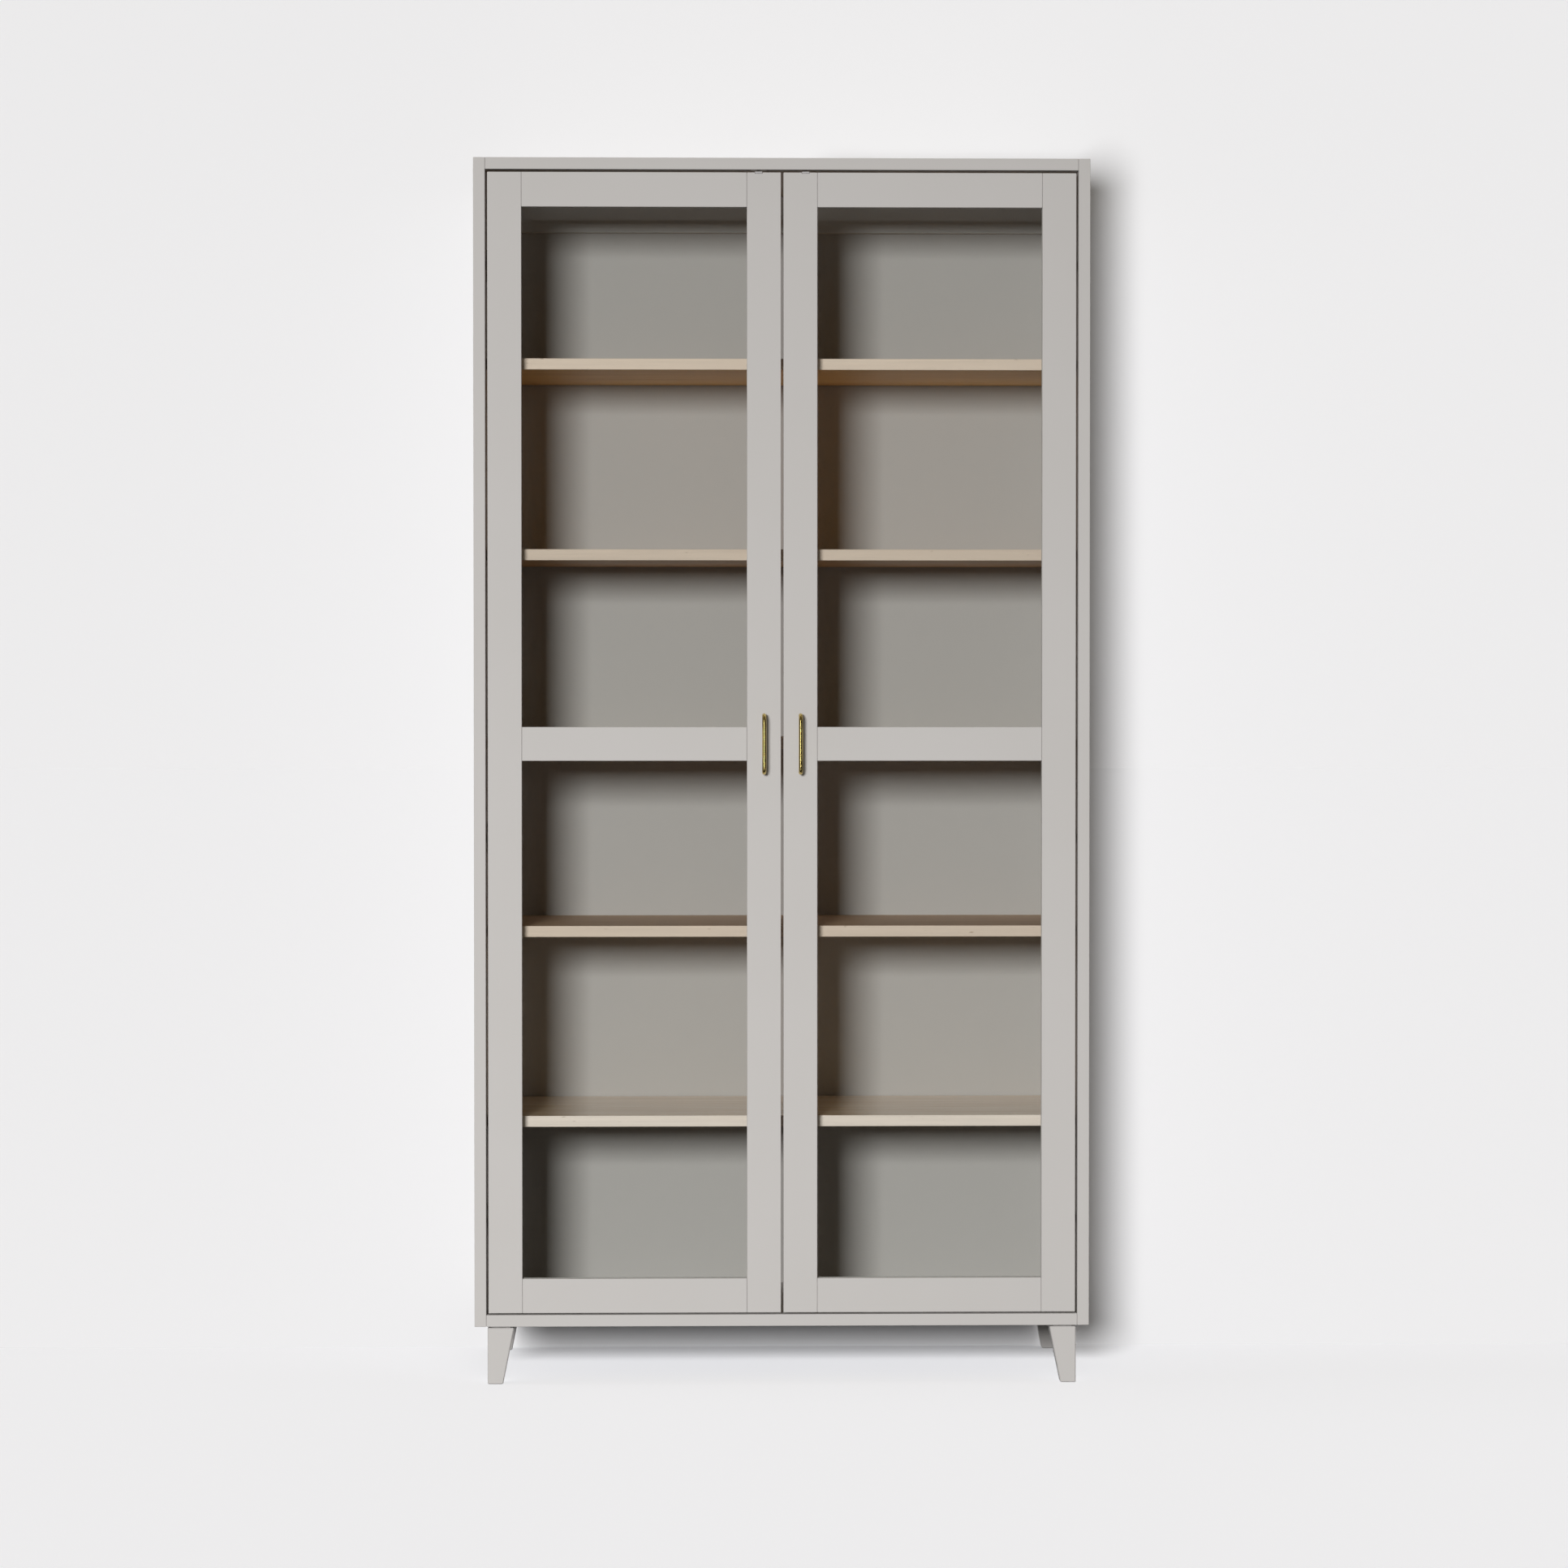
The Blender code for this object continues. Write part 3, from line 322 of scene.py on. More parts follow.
def birch_veneer(colours, shelf):
    """Clear-lacquered birch: long pale streaks along the shelf, fine fibre and small brown flecks.

    The front is a solid lipping, a little paler than the veneer behind it. The upper half of the
    board is coloured with the top's painted light, the lower half with the underside's painted
    light and shade.
    """
    underside_light_tone, top_light_tone, edge_tone, shine = SHELF_LIGHT_TONES[shelf]
    low, high = box_limits(shelf)
    material, tree, surface = empty_material(f"birch_veneer_{shelf}")
    where = add_node(tree, "ShaderNodeTexCoord").outputs["Object"]
    streak_place, fibre_place, fleck_place = (
        add_node(tree, "ShaderNodeMapping", {"Scale": stretched(size)}, {"Vector": where})
        for size in (BIRCH_STREAK, BIRCH_FIBRE, BIRCH_FLECK))
    streaks = add_node(
        tree, "ShaderNodeTexNoise",
        {"Scale": 1.0, "Detail": 5.0, "Roughness": 0.62, "Distortion": 0.8},
        {"Vector": streak_place.outputs["Vector"]})
    fibre = add_node(
        tree, "ShaderNodeTexNoise", {"Scale": 1.0, "Detail": 2.0},
        {"Vector": fibre_place.outputs["Vector"]})
    grain = add_node(
        tree, "ShaderNodeMix", {"Factor": FIBRE_SHARE},
        {2: streaks.outputs["Fac"], 3: fibre.outputs["Fac"]}, data_type="FLOAT")
    share = add_node(
        tree, "ShaderNodeMapRange", {"From Min": STREAK_LIMITS[0], "From Max": STREAK_LIMITS[1]},
        {"Value": grain.outputs[0]})
    place = add_node(tree, "ShaderNodeSeparateXYZ", {}, {"Vector": where})
    # Painted light and shade: the board's top and underside get different colours for how light
    # falls on them
    upper = add_node(
        tree, "ShaderNodeMath", {1: (low[2] + high[2]) / 2}, {0: place.outputs["Z"]},
        operation="GREATER_THAN")
    pale, late = (
        add_node(
            tree, "ShaderNodeMix", {6: toned(colour, underside_light_tone), 7: toned(colour, top_light_tone)},
            {"Factor": upper.outputs["Value"]}, data_type="RGBA")
        for colour in (colours.birch, colours.birch_late))
    veneer = add_node(
        tree, "ShaderNodeMix", {},
        {"Factor": share.outputs["Result"], 6: pale.outputs[2], 7: late.outputs[2]},
        data_type="RGBA")
    edge = toned(colours.birch_lipping, edge_tone)
    late_edge = toned(colours.birch_lipping, LIPPING_LATE_WOOD * np.array(edge_tone))
    lipping = add_node(
        tree, "ShaderNodeMix", {6: edge, 7: late_edge}, {"Factor": share.outputs["Result"]},
        data_type="RGBA")
    behind = add_node(
        tree, "ShaderNodeMath", {1: low[1] + LIPPING_DEPTH}, {0: place.outputs["Y"]},
        operation="GREATER_THAN")
    wood = add_node(
        tree, "ShaderNodeMix", {},
        {"Factor": behind.outputs["Value"], 6: lipping.outputs[2], 7: veneer.outputs[2]},
        data_type="RGBA")
    fleck_field = add_node(
        tree, "ShaderNodeTexNoise", {"Scale": 1.0, "Detail": 1.0},
        {"Vector": fleck_place.outputs["Vector"]})
    fleck = add_node(
        tree, "ShaderNodeMapRange",
        {"From Min": FLECK_LIMITS[0], "From Max": FLECK_LIMITS[1], "To Max": FLECK_STRENGTH},
        {"Value": fleck_field.outputs["Fac"]})
    colour = add_node(
        tree, "ShaderNodeMix", {7: (*colours.birch_fleck, 1)},
        {"Factor": fleck.outputs["Result"], 6: wood.outputs[2]}, data_type="RGBA")
    sheen = add_node(
        tree, "ShaderNodeMapRange",
        {"To Min": shine - BIRCH_ROUGHNESS_SPREAD, "To Max": shine + BIRCH_ROUGHNESS_SPREAD},
        {"Value": fibre.outputs["Fac"]})
    bump = add_node(
        tree, "ShaderNodeBump", {"Strength": 0.15, "Distance": BIRCH_FIBRE_DEPTH},
        {"Height": fibre.outputs["Fac"]})
    shader = add_node(
        tree, "ShaderNodeBsdfPrincipled", {"IOR": 1.5},
        {"Base Color": colour.outputs[2], "Roughness": sheen.outputs["Result"],
         "Normal": bump.outputs["Normal"]})
    tree.links.new(shader.outputs["BSDF"], surface)
    return material


def float_glass(colours):
    """Clear 4 mm float glass: what is behind it shows unbent, and at flat angles it mirrors more.

    A face's mirrored share is 0.04 + 0.96 (1 - cos a)^5, with a the angle between the sight line
    and the face's normal.
    """
    material, tree, surface = empty_material("clear_float_glass")
    facing = add_node(tree, "ShaderNodeLayerWeight", {"Blend": 0.5})
    steep = add_node(
        tree, "ShaderNodeMath", {1: 5.0}, {0: facing.outputs["Facing"]}, operation="POWER")
    share = add_node(
        tree, "ShaderNodeMath", {1: 1 - GLASS_MIRROR_HEAD_ON, 2: GLASS_MIRROR_HEAD_ON},
        {0: steep.outputs["Value"]}, operation="MULTIPLY_ADD")
    clear = add_node(tree, "ShaderNodeBsdfTransparent", {"Color": (*colours.glass, 1)})
    mirror = add_node(tree, "ShaderNodeBsdfGlossy", {"Color": (1, 1, 1, 1), "Roughness": 0.0})
    mixed = add_node(
        tree, "ShaderNodeMixShader", {},
        {0: share.outputs["Value"], 1: clear.outputs["BSDF"], 2: mirror.outputs["BSDF"]})
    tree.links.new(mixed.outputs["Shader"], surface)
    return material


def polished_metal(name, colour, roughness):
    """Solid or plated metal: a coloured mirror, softened unevenly by fine polishing marks."""
    material, tree, surface = empty_material(name)
    where = add_node(tree, "ShaderNodeTexCoord").outputs["Object"]
    marks = add_node(
        tree, "ShaderNodeTexNoise", {"Scale": 1 / POLISHING_MARK, "Detail": 3.0}, {"Vector": where})
    rub = add_node(
        tree, "ShaderNodeMapRange", {"To Min": roughness[0], "To Max": roughness[1]},
        {"Value": marks.outputs["Fac"]})
    shader = add_node(
        tree, "ShaderNodeBsdfPrincipled", {"Base Color": (*colour, 1), "Metallic": 1.0},
        {"Roughness": rub.outputs["Result"]})
    tree.links.new(shader.outputs["BSDF"], surface)
    return material


def moulded_nylon(colour):
    """Moulded nylon, pale grey: soft gloss broken by the mould's fine spark-eroded texture."""
    material, tree, surface = empty_material("moulded_nylon")
    where = add_node(tree, "ShaderNodeTexCoord").outputs["Object"]
    grain = add_node(
        tree, "ShaderNodeTexNoise", {"Scale": 1 / NYLON_GRAIN, "Detail": 2.0}, {"Vector": where})
    dark, pale = (toned(colour, 1 + way * NYLON_CONTRAST) for way in (-1, 1))
    colours = add_node(
        tree, "ShaderNodeMix", {6: dark, 7: pale}, {"Factor": grain.outputs["Fac"]},
        data_type="RGBA")
    bump = add_node(
        tree, "ShaderNodeBump", {"Strength": 0.2, "Distance": NYLON_GRAIN_DEPTH},
        {"Height": grain.outputs["Fac"]})
    shader = add_node(
        tree, "ShaderNodeBsdfPrincipled", {"IOR": 1.53, "Roughness": NYLON_ROUGHNESS},
        {"Base Color": colours.outputs[2], "Normal": bump.outputs["Normal"]})
    tree.links.new(shader.outputs["BSDF"], surface)
    return material


FINISHES = {}


def finish(name):
    """A finish by name, made the first time it is asked for."""
    colours = bpy.context.scene.cabinet_colours
    makers = {
        "lacquer": lambda: greige_lacquer(
            "greige_satin_lacquer", colours.lacquer, colours.lacquer_deep),
        "back": lambda: greige_lacquer(
            "darker_greige_lacquer", colours.back_lacquer, colours.back_lacquer_deep),
        **{shelf: lambda shelf=shelf: birch_veneer(colours, shelf) for shelf in SHELVES},
        "glass": lambda: float_glass(colours),
        "brass": lambda: polished_metal("polished_brass", colours.brass, BRASS_ROUGHNESS),
        "nylon": lambda: moulded_nylon(colours.nylon),
        "nickel": lambda: polished_metal("nickel_plate", colours.nickel, NICKEL_ROUGHNESS),
    }
    if name not in FINISHES:
        FINISHES[name] = makers[name]()
    return FINISHES[name]


def dress(node_name, material):
    """Give a solid its finish."""
    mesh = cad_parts[node_name].data
    mesh.materials.clear()
    mesh.materials.append(material)


def tube_faces(rows, columns, start):
    """Corner numbers of a tube's quads; its last column joins its first."""
    row = np.arange(rows - 1)[:, None] * columns
    column = np.arange(columns)[None, :]
    beside = (column + 1) % columns
    above = row + columns
    quads = np.stack([row + column, row + beside, above + beside, above + column], axis=-1)
    return (quads.reshape(-1, 4) + start).tolist()


def add_surfaces(name, grids, finish_name, body, replaced=()):
    """A piece made of closed tubes: each grid's rows run along the tube and its ends are capped."""
    points, faces, start = [], [], 0
    for grid in grids:
        rows, columns = grid.shape[:2]
        points.append(grid.reshape(-1, 3))
        faces += tube_faces(rows, columns, start)
        faces.append(list(range(start, start + columns)))
        faces.append(list(range(start + (rows - 1) * columns, start + rows * columns)))
        start += rows * columns
    mesh = bpy.data.meshes.new(name)
    mesh.from_pydata(np.concatenate(points), [], faces)
    shape = bmesh.new()
    shape.from_mesh(mesh)
    bmesh.ops.remove_doubles(shape, verts=shape.verts, dist=MERGE_WITHIN)
    bmesh.ops.recalc_face_normals(shape, faces=shape.faces)
    shape.to_mesh(mesh)
    shape.free()
    mesh.shade_smooth()
    mesh.set_sharp_from_angle(angle=SHARP_EDGE)
    mesh.materials.append(finish(finish_name))
    piece = bpy.data.objects.new(name, mesh)
    bpy.context.scene.collection.objects.link(piece)
    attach(piece, body)
    if replaced:
        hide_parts(*replaced)


def turned(profile, sides):
    """A profile of (radius, height) turned about Z: x = r cos a, y = r sin a, z = h."""
    radius, height = np.array(profile, float).T
    angle = np.linspace(0, 2 * np.pi, sides, endpoint=False)
    flat = radius[:, None]
    z = height[:, None] + 0 * angle
    return np.stack([flat * np.cos(angle), flat * np.sin(angle), z], axis=-1)


def aimed(points, place, axis):
    """Points turned so that +Z runs along the axis, and moved to the place."""
    ahead = np.asarray(axis, float)
    across = np.cross((1.0, 0.0, 0.0) if abs(ahead[2]) > 0.5 else (0.0, 0.0, 1.0), ahead)
    basis = np.stack([across, np.cross(ahead, across), ahead])
    return points @ basis + np.asarray(place, float)


def box_limits(node_name):
    """A solid's lowest and highest corners as arrays."""
    low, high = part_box(node_name)
    return np.array(low), np.array(high)


def bow_tube(low, high, rod_radius, bend_radius, sides=32):
    """A bow handle: a round tube along a path that leaves the door, bends, runs up and comes back.

    The path is two quarter circles of the bend radius joined by straights; a ring of the tube is
    path + r (cos a X + sin a N), where N lies in the bow's plane, square to the path.
    """
    middle_x = (low[0] + high[0]) / 2
    grip_y, foot_y = low[1] + rod_radius, high[1]
    ends_z = low[2] + rod_radius, high[2] - rod_radius
    turn = np.linspace(0, np.pi / 2, 14)
    bend_y = grip_y + bend_radius * (1 - np.sin(turn))
    bend_z = ends_z[0] + bend_radius * (1 - np.cos(turn))
    lower = np.stack([bend_y, bend_z], 1)
    upper = np.stack([lower[::-1, 0], ends_z[0] + ends_z[1] - lower[::-1, 1]], 1)
    path = np.concatenate([[[foot_y, ends_z[0]]], lower, upper, [[foot_y, ends_z[1]]]])
    ahead = np.gradient(path, axis=0)
    ahead[0], ahead[-1] = (-1, 0), (1, 0)
    ahead /= np.linalg.norm(ahead, axis=1, keepdims=True)
    normal = np.stack([-ahead[:, 1], ahead[:, 0]], 1)
    angle = np.linspace(0, 2 * np.pi, sides, endpoint=False)
    rings = path[:, None, :] + rod_radius * np.sin(angle)[None, :, None] * normal[:, None, :]
    across = np.broadcast_to(middle_x + rod_radius * np.cos(angle), rings.shape[:2])
    return np.concatenate([across[..., None], rings], axis=-1)


def bead_strips(low, high, width, rounding):
    """Four mitred strips round a pane, flat on the glass and rounded on the room side.

    With a the distance in from the rebate's wall and b the height over the glass, the profile is a
    rectangle whose room-side inner corner is a quarter circle. A strip carries it from corner to
    corner; each end is moved along the strip by a, which makes the mitre.
    """
    depth = high[1] - low[1]
    turn = np.linspace(0, np.pi / 2, 9)
    round_in = np.stack(
        [width - rounding * (1 - np.cos(turn)), depth - rounding * (1 - np.sin(turn))], 1)
    a, b = np.concatenate([[(0, 0), (width, 0)], round_in, [(0, depth)]]).T
    corners = np.array([(low[0], low[2]), (high[0], low[2]), (high[0], high[2]), (low[0], high[2])])
    strips = []
    for start, end in zip(corners, np.roll(corners, -1, axis=0)):
        along = (end - start) / np.linalg.norm(end - start)
        inward = np.array([-along[1], along[0]])
        first = start + MITRE_GAP * along + a[:, None] * (inward + along)
        last = end - MITRE_GAP * along + a[:, None] * (inward - along)
        flat = np.stack([first, last])
        y = np.broadcast_to(low[1] + b, flat.shape[:2])
        strips.append(np.stack([flat[..., 0], y, flat[..., 1]], -1))
    return strips


def domed_head(radius, rise):
    """Profile of a round head: (radius sin t, rise cos t) from near its crown to its rim."""
    turn = np.linspace(0.02, np.pi / 2, 8)
    return np.stack([radius * np.sin(turn), rise * np.cos(turn)], 1)


def cross_head(radius, rise, sides=48, rings=14):
    """A screw head with a cross recess, from its seat at z = 0.

    Over the ring share s the crown is rise (1 - 0.4 s^2). It sinks by 0.7 rise where the smaller
    of |x| and |y| is under 0.09 of the radius and s under 0.56, and slopes back to the crown until
    0.14 and 0.62. The last ring drops to the seat.
    """
    share = np.append(np.linspace(0.03, 1.0, rings), 1.0)
    angle = np.linspace(0, 2 * np.pi, sides, endpoint=False)
    x, y = share[:, None] * np.cos(angle), share[:, None] * np.sin(angle)
    across = np.clip((0.14 - np.minimum(abs(x), abs(y))) / 0.05, 0, 1)
    outward = np.clip((0.62 - share[:, None]) / 0.06, 0, 1)
    z = rise * (1 - 0.4 * share[:, None] ** 2 - 0.7 * (across * outward))
    z[-1] = 0
    return np.stack([radius * x, radius * y, z], axis=-1)


def perimeter(low, high, pitch):
    """Points at even steps round a rectangle, no further apart than the pitch."""
    across = np.linspace(low[0], high[0], int(np.ceil((high[0] - low[0]) / pitch)) + 1)
    up = np.linspace(low[1], high[1], int(np.ceil((high[1] - low[1]) / pitch)) + 1)[1:-1]
    rows = [np.stack([across, np.full_like(across, z)], 1) for z in (low[1], high[1])]
    sides = [np.stack([np.full_like(up, x), up], 1) for x in (low[0], high[0])]
    return np.concatenate(rows + sides)


class CABINET_OT_boards(bpy.types.Operator):
    """Lacquer the case's boards, the legs and the door frames, and nail the back panel on"""

    bl_idname = "cabinet.boards"
    bl_label = "Case and door frames"

    def execute(self, context):
        names = ["left_side", "right_side", "top_panel", "bottom_panel", "back_panel", "rear_rail"]
        for side, _ in SIDES:
            names += [f"{row}_{side}_leg" for row in ("front", "rear")]
            names += [f"{side}_{part}_stile" for part in ("hinge", "meeting")]
            names += [f"{side}_{part}_rail" for part in ("top", "middle", "bottom")]
        for name in names:
            dress(name, finish("back" if name == "back_panel" else "lacquer"))
        sizes = context.scene.cabinet_sizes
        low, high = box_limits("back_panel")
        nails = perimeter(low[[0, 2]] + NAIL_INSET, high[[0, 2]] - NAIL_INSET, sizes.nail_pitch)
        head = turned(domed_head(sizes.nail_head / 2, NAIL_RISE), sides=16)
        add_surfaces(
            "back_panel_nails", [aimed(head, (x, high[1], z), (0, 1, 0)) for x, z in nails],
            "nickel", "case")
        return {"FINISHED"}


class CABINET_OT_shelves(bpy.types.Operator):
    """Veneer the five shelves"""

    bl_idname = "cabinet.shelves"
    bl_label = "Shelves"

    def execute(self, context):
        for name in SHELVES:
            dress(name, finish(name))
        return {"FINISHED"}


class CABINET_OT_shelf_pins(bpy.types.Operator):
    """Put two collared pins under each end of the loose shelves"""

    bl_idname = "cabinet.shelf_pins"
    bl_label = "Shelf pins"

    def execute(self, context):
        collar = context.scene.cabinet_sizes.pin_collar / 2
        radius, reach = SHELF_PIN_RADIUS, SHELF_PIN_REACH
        pin = turned([
            (collar - PIN_CHAMFER, 0), (collar, 0), (collar, PIN_CHAMFER),
            (collar - PIN_CHAMFER, PIN_COLLAR_THICK), (radius, PIN_COLLAR_THICK),
            (radius, reach - PIN_TIP_ROUND),
            (radius - PIN_TIP_MIDDLE[0], reach - PIN_TIP_MIDDLE[1]),
            (radius - PIN_TIP_ROUND, reach)], sides=24)
        for shelf in LOOSE_SHELVES:
            low, high = box_limits(shelf)
            pins = []
            for _, way in SIDES:
                for y in (low[1] + SHELF_PIN_INSET, high[1] - SHELF_PIN_INSET):
                    place = (way * CASE_INSIDE, y, low[2] - SHELF_PIN_DROP)
                    pins.append(aimed(pin, place, (-way, 0, 0)))
            add_surfaces(f"{shelf}_pins", pins, "nickel", "case")
        return {"FINISHED"}


class CABINET_OT_panes(bpy.types.Operator):
    """Glaze the doors and hold the panes with mitred beads"""

    bl_idname = "cabinet.panes"
    bl_label = "Glass panes"

    def execute(self, context):
        for side, _ in SIDES:
            rail_top = box_limits(f"{side}_bottom_rail")[1][2]
            width = rail_top - box_limits(f"{side}_lower_bead")[0][2]
            for pane in PANES:
                dress(f"{side}_{pane}_glass", finish("glass"))
                low, high = box_limits(f"{side}_{pane}_bead")
                strips = bead_strips(low, high, width, context.scene.cabinet_sizes.bead_round)
                add_surfaces(
                    f"{side}_{pane}_mitred_bead", strips, "lacquer", f"{side}_door",
                    [f"{side}_{pane}_bead"])
        return {"FINISHED"}


class CABINET_OT_fittings(bpy.types.Operator):
    """Finish the hinges, the catches and their strikes, and screw the fittings on"""

    bl_idname = "cabinet.fittings"
    bl_label = "Hinges and catches"

    def execute(self, context):
        for side, _ in SIDES:
            names = [
                f"{side}_hinge_{part}_{number}"
                for part in ("cup", "arm", "plate") for number in HINGE_NUMBERS]
            names += [f"{side}_catch_ball", f"{side}_strike_plate"]
            for name in names:
                dress(name, finish("nickel"))
            dress(f"{side}_catch_housing", finish("nylon"))
        add_screws(context.scene.cabinet_sizes.screw_head / 2)
        return {"FINISHED"}


def add_screws(radius):
    """The screws of hinge cups, hinge plates, hinge arms, strikes and handles."""
    pan = cross_head(radius, SCREW_RISE)
    flat = cross_head(STRIKE_SCREW_SHARE * radius, STRIKE_SCREW_RISE)
    for side, way in SIDES:
        on_door, on_case = [], []
        for number in HINGE_NUMBERS:
            cup_low, cup_high = box_limits(f"{side}_hinge_cup_{number}")
            plate_low, plate_high = box_limits(f"{side}_hinge_plate_{number}")
            arm_low, arm_high = box_limits(f"{side}_hinge_arm_{number}")
            height = (cup_low[2] + cup_high[2]) / 2
            flange_x = (cup_low[0] + cup_high[0]) / 2
            plate_y = (plate_low[1] + plate_high[1]) / 2
            plate_x = min(abs(plate_low[0]), abs(plate_high[0])) * way
            for step in (-1, 1):
                flange_z = height + step * FLANGE_SCREW_SPREAD
                plate_z = height + step * PLATE_SCREW_SPREAD
                on_door.append(aimed(pan, (flange_x, cup_high[1], flange_z), (0, 1, 0)))
                on_case.append(aimed(pan, (plate_x, plate_y, plate_z), (-way, 0, 0)))
            arm_x = max(abs(arm_low[0]), abs(arm_high[0])) * way - way * HINGE_ARM_THICK
            arm_y = arm_high[1] - ARM_SCREW_FROM_END
            on_case.append(aimed(pan, (arm_x, arm_y, height), (-way, 0, 0)))
        strike_low, strike_high = box_limits(f"{side}_strike_plate")
        middle = (strike_low + strike_high) / 2
        for step in (-1, 1):
            place = (middle[0] + step * STRIKE_SCREW_SPREAD, middle[1], strike_low[2])
            on_case.append(aimed(flat, place, (0, 0, -1)))
        handle_low, handle_high = box_limits(f"{side}_handle")
        rod = (handle_high[0] - handle_low[0]) / 2
        door_back = box_limits(f"{side}_meeting_stile")[1][1]
        for z in (handle_low[2] + rod, handle_high[2] - rod):
            on_door.append(aimed(pan, (handle_low[0] + rod, door_back, z), (0, 1, 0)))
        add_surfaces(f"{side}_door_screws", on_door, "nickel", f"{side}_door")
        add_surfaces(f"{side}_case_screws", on_case, "nickel", "case")


class CABINET_OT_handles(bpy.types.Operator):
    """Make the two brass bow handles"""

    bl_idname = "cabinet.handles"
    bl_label = "Bow handles"

    def execute(self, context):
        for side, _ in SIDES:
            low, high = box_limits(f"{side}_handle")
            rod_radius = (high[0] - low[0]) / 2
            tube = bow_tube(low, high, rod_radius, HANDLE_BEND)
            add_surfaces(
                f"{side}_bow_handle", [tube], "brass", f"{side}_door",
                [f"{side}_handle"])
        return {"FINISHED"}


class CABINET_OT_stage(bpy.types.Operator):
    """Set up the studio: wall, floor, lamps, fill light and camera"""

    bl_idname = "cabinet.stage"
    bl_label = "Studio"

    def execute(self, context):
        colours = context.scene.cabinet_colours
        add_lamps(*add_backdrop(colours.backdrop))
        add_fill(context.scene, colours.backdrop)
        add_camera(context.scene)
        context.scene.view_settings.view_transform = "Standard"
        return {"FINISHED"}


def stage_plane(name, corners, material):
    """A flat four-cornered piece of the studio."""
    mesh = bpy.data.meshes.new(name)
    mesh.from_pydata(corners, [], [(0, 1, 2, 3)])
    mesh.materials.append(material)
    plane = bpy.data.objects.new(name, mesh)
    bpy.context.scene.collection.objects.link(plane)
    return plane


def backdrop_paper(name, colour, gain, one_sided):
    """Matt white paper, shaded as if wall and floor faced the low lamp, so that they look like one.

    The gain evens out what the sheets get from their lamps. Other pieces get little light
    back from it; a one-sided sheet can be looked through from its back.
    """
    material, tree, surface = empty_material(name)
    normal = np.array(LOW_LAMP_PLACE) / np.linalg.norm(LOW_LAMP_PLACE)
    facing = add_node(tree, "ShaderNodeCombineXYZ", dict(enumerate(normal)))
    sheet = add_node(
        tree, "ShaderNodeBsdfDiffuse", {"Color": (*(np.array(colour) * gain), 1)},
        {"Normal": facing.outputs["Vector"]})
    dim = add_node(tree, "ShaderNodeBsdfDiffuse", {"Color": toned(colour, BACKDROP_BOUNCE)})
    path = add_node(tree, "ShaderNodeLightPath")
    through = add_node(
        tree, "ShaderNodeMath", {},
        {0: path.outputs["Is Camera Ray"], 1: path.outputs["Is Transmission Ray"]},
        operation="MAXIMUM")
    seen = add_node(
        tree, "ShaderNodeMath", {}, {0: through.outputs["Value"], 1: path.outputs["Is Glossy Ray"]},
        operation="MAXIMUM")
    paper = add_node(
        tree, "ShaderNodeMixShader", {},
        {0: seen.outputs["Value"], 1: dim.outputs["BSDF"], 2: sheet.outputs["BSDF"]})
    if one_sided:
        clear = add_node(tree, "ShaderNodeBsdfTransparent")
        side = add_node(tree, "ShaderNodeNewGeometry")
        paper = add_node(
            tree, "ShaderNodeMixShader", {},
            {0: side.outputs["Backfacing"], 1: paper.outputs["Shader"], 2: clear.outputs["BSDF"]})
    tree.links.new(paper.outputs["Shader"], surface)
    return material


def add_backdrop(colour):
    """A floor, and a wall behind the cabinet in a high and a low piece, which shade nothing."""
    back, reach = CAD_BOX[1].y + WALL_GAP, STAGE_REACH
    middle = (CAD_BOX[0].z + CAD_BOX[1].z) / 2
    walls = []
    for name, low, high, gain in (("high", middle, reach, HIGH_WALL_GAIN), ("low", 0, middle, 1.0)):
        corners = [
            (-reach, back, low), (reach, back, low), (reach, back, high), (-reach, back, high)]
        paper = backdrop_paper(f"white_{name}_wall_paper", colour, gain, one_sided=True)
        wall = stage_plane(f"studio_{name}_wall", corners, paper)
        wall.visible_diffuse = False
        wall.visible_shadow = False
        walls.append(wall)
    corners = [(-reach, -reach, 0), (reach, -reach, 0), (reach, reach, 0), (-reach, reach, 0)]
    paper = backdrop_paper("white_floor_paper", colour, FLOOR_GAIN, one_sided=False)
    floor = stage_plane("studio_floor", corners, paper)
    floor.visible_glossy = False
    return *walls, floor


def add_lamp(name, kind, place, aim, **settings):
    """A lamp that faces a point."""
    lamp = bpy.data.lights.new(name, kind)
    for setting, value in settings.items():
        setattr(lamp, setting, value)
    holder = bpy.data.objects.new(name, lamp)
    bpy.context.scene.collection.objects.link(holder)
    holder.location = place
    across, away, up = np.array(aim) - np.array(place)
    tilt = math.pi / 2 + math.atan2(up, math.hypot(across, away))
    holder.rotation_euler = (tilt, 0, math.atan2(-across, away))
    return holder


def linked(name, pieces, state="INCLUDE"):
    """A collection that links a lamp to the pieces only, or with EXCLUDE to all but them."""
    group = bpy.data.collections.new(name)
    for piece in pieces:
        group.objects.link(piece)
    for entry in group.collection_objects:
        entry.light_linking.link_state = state
    return group


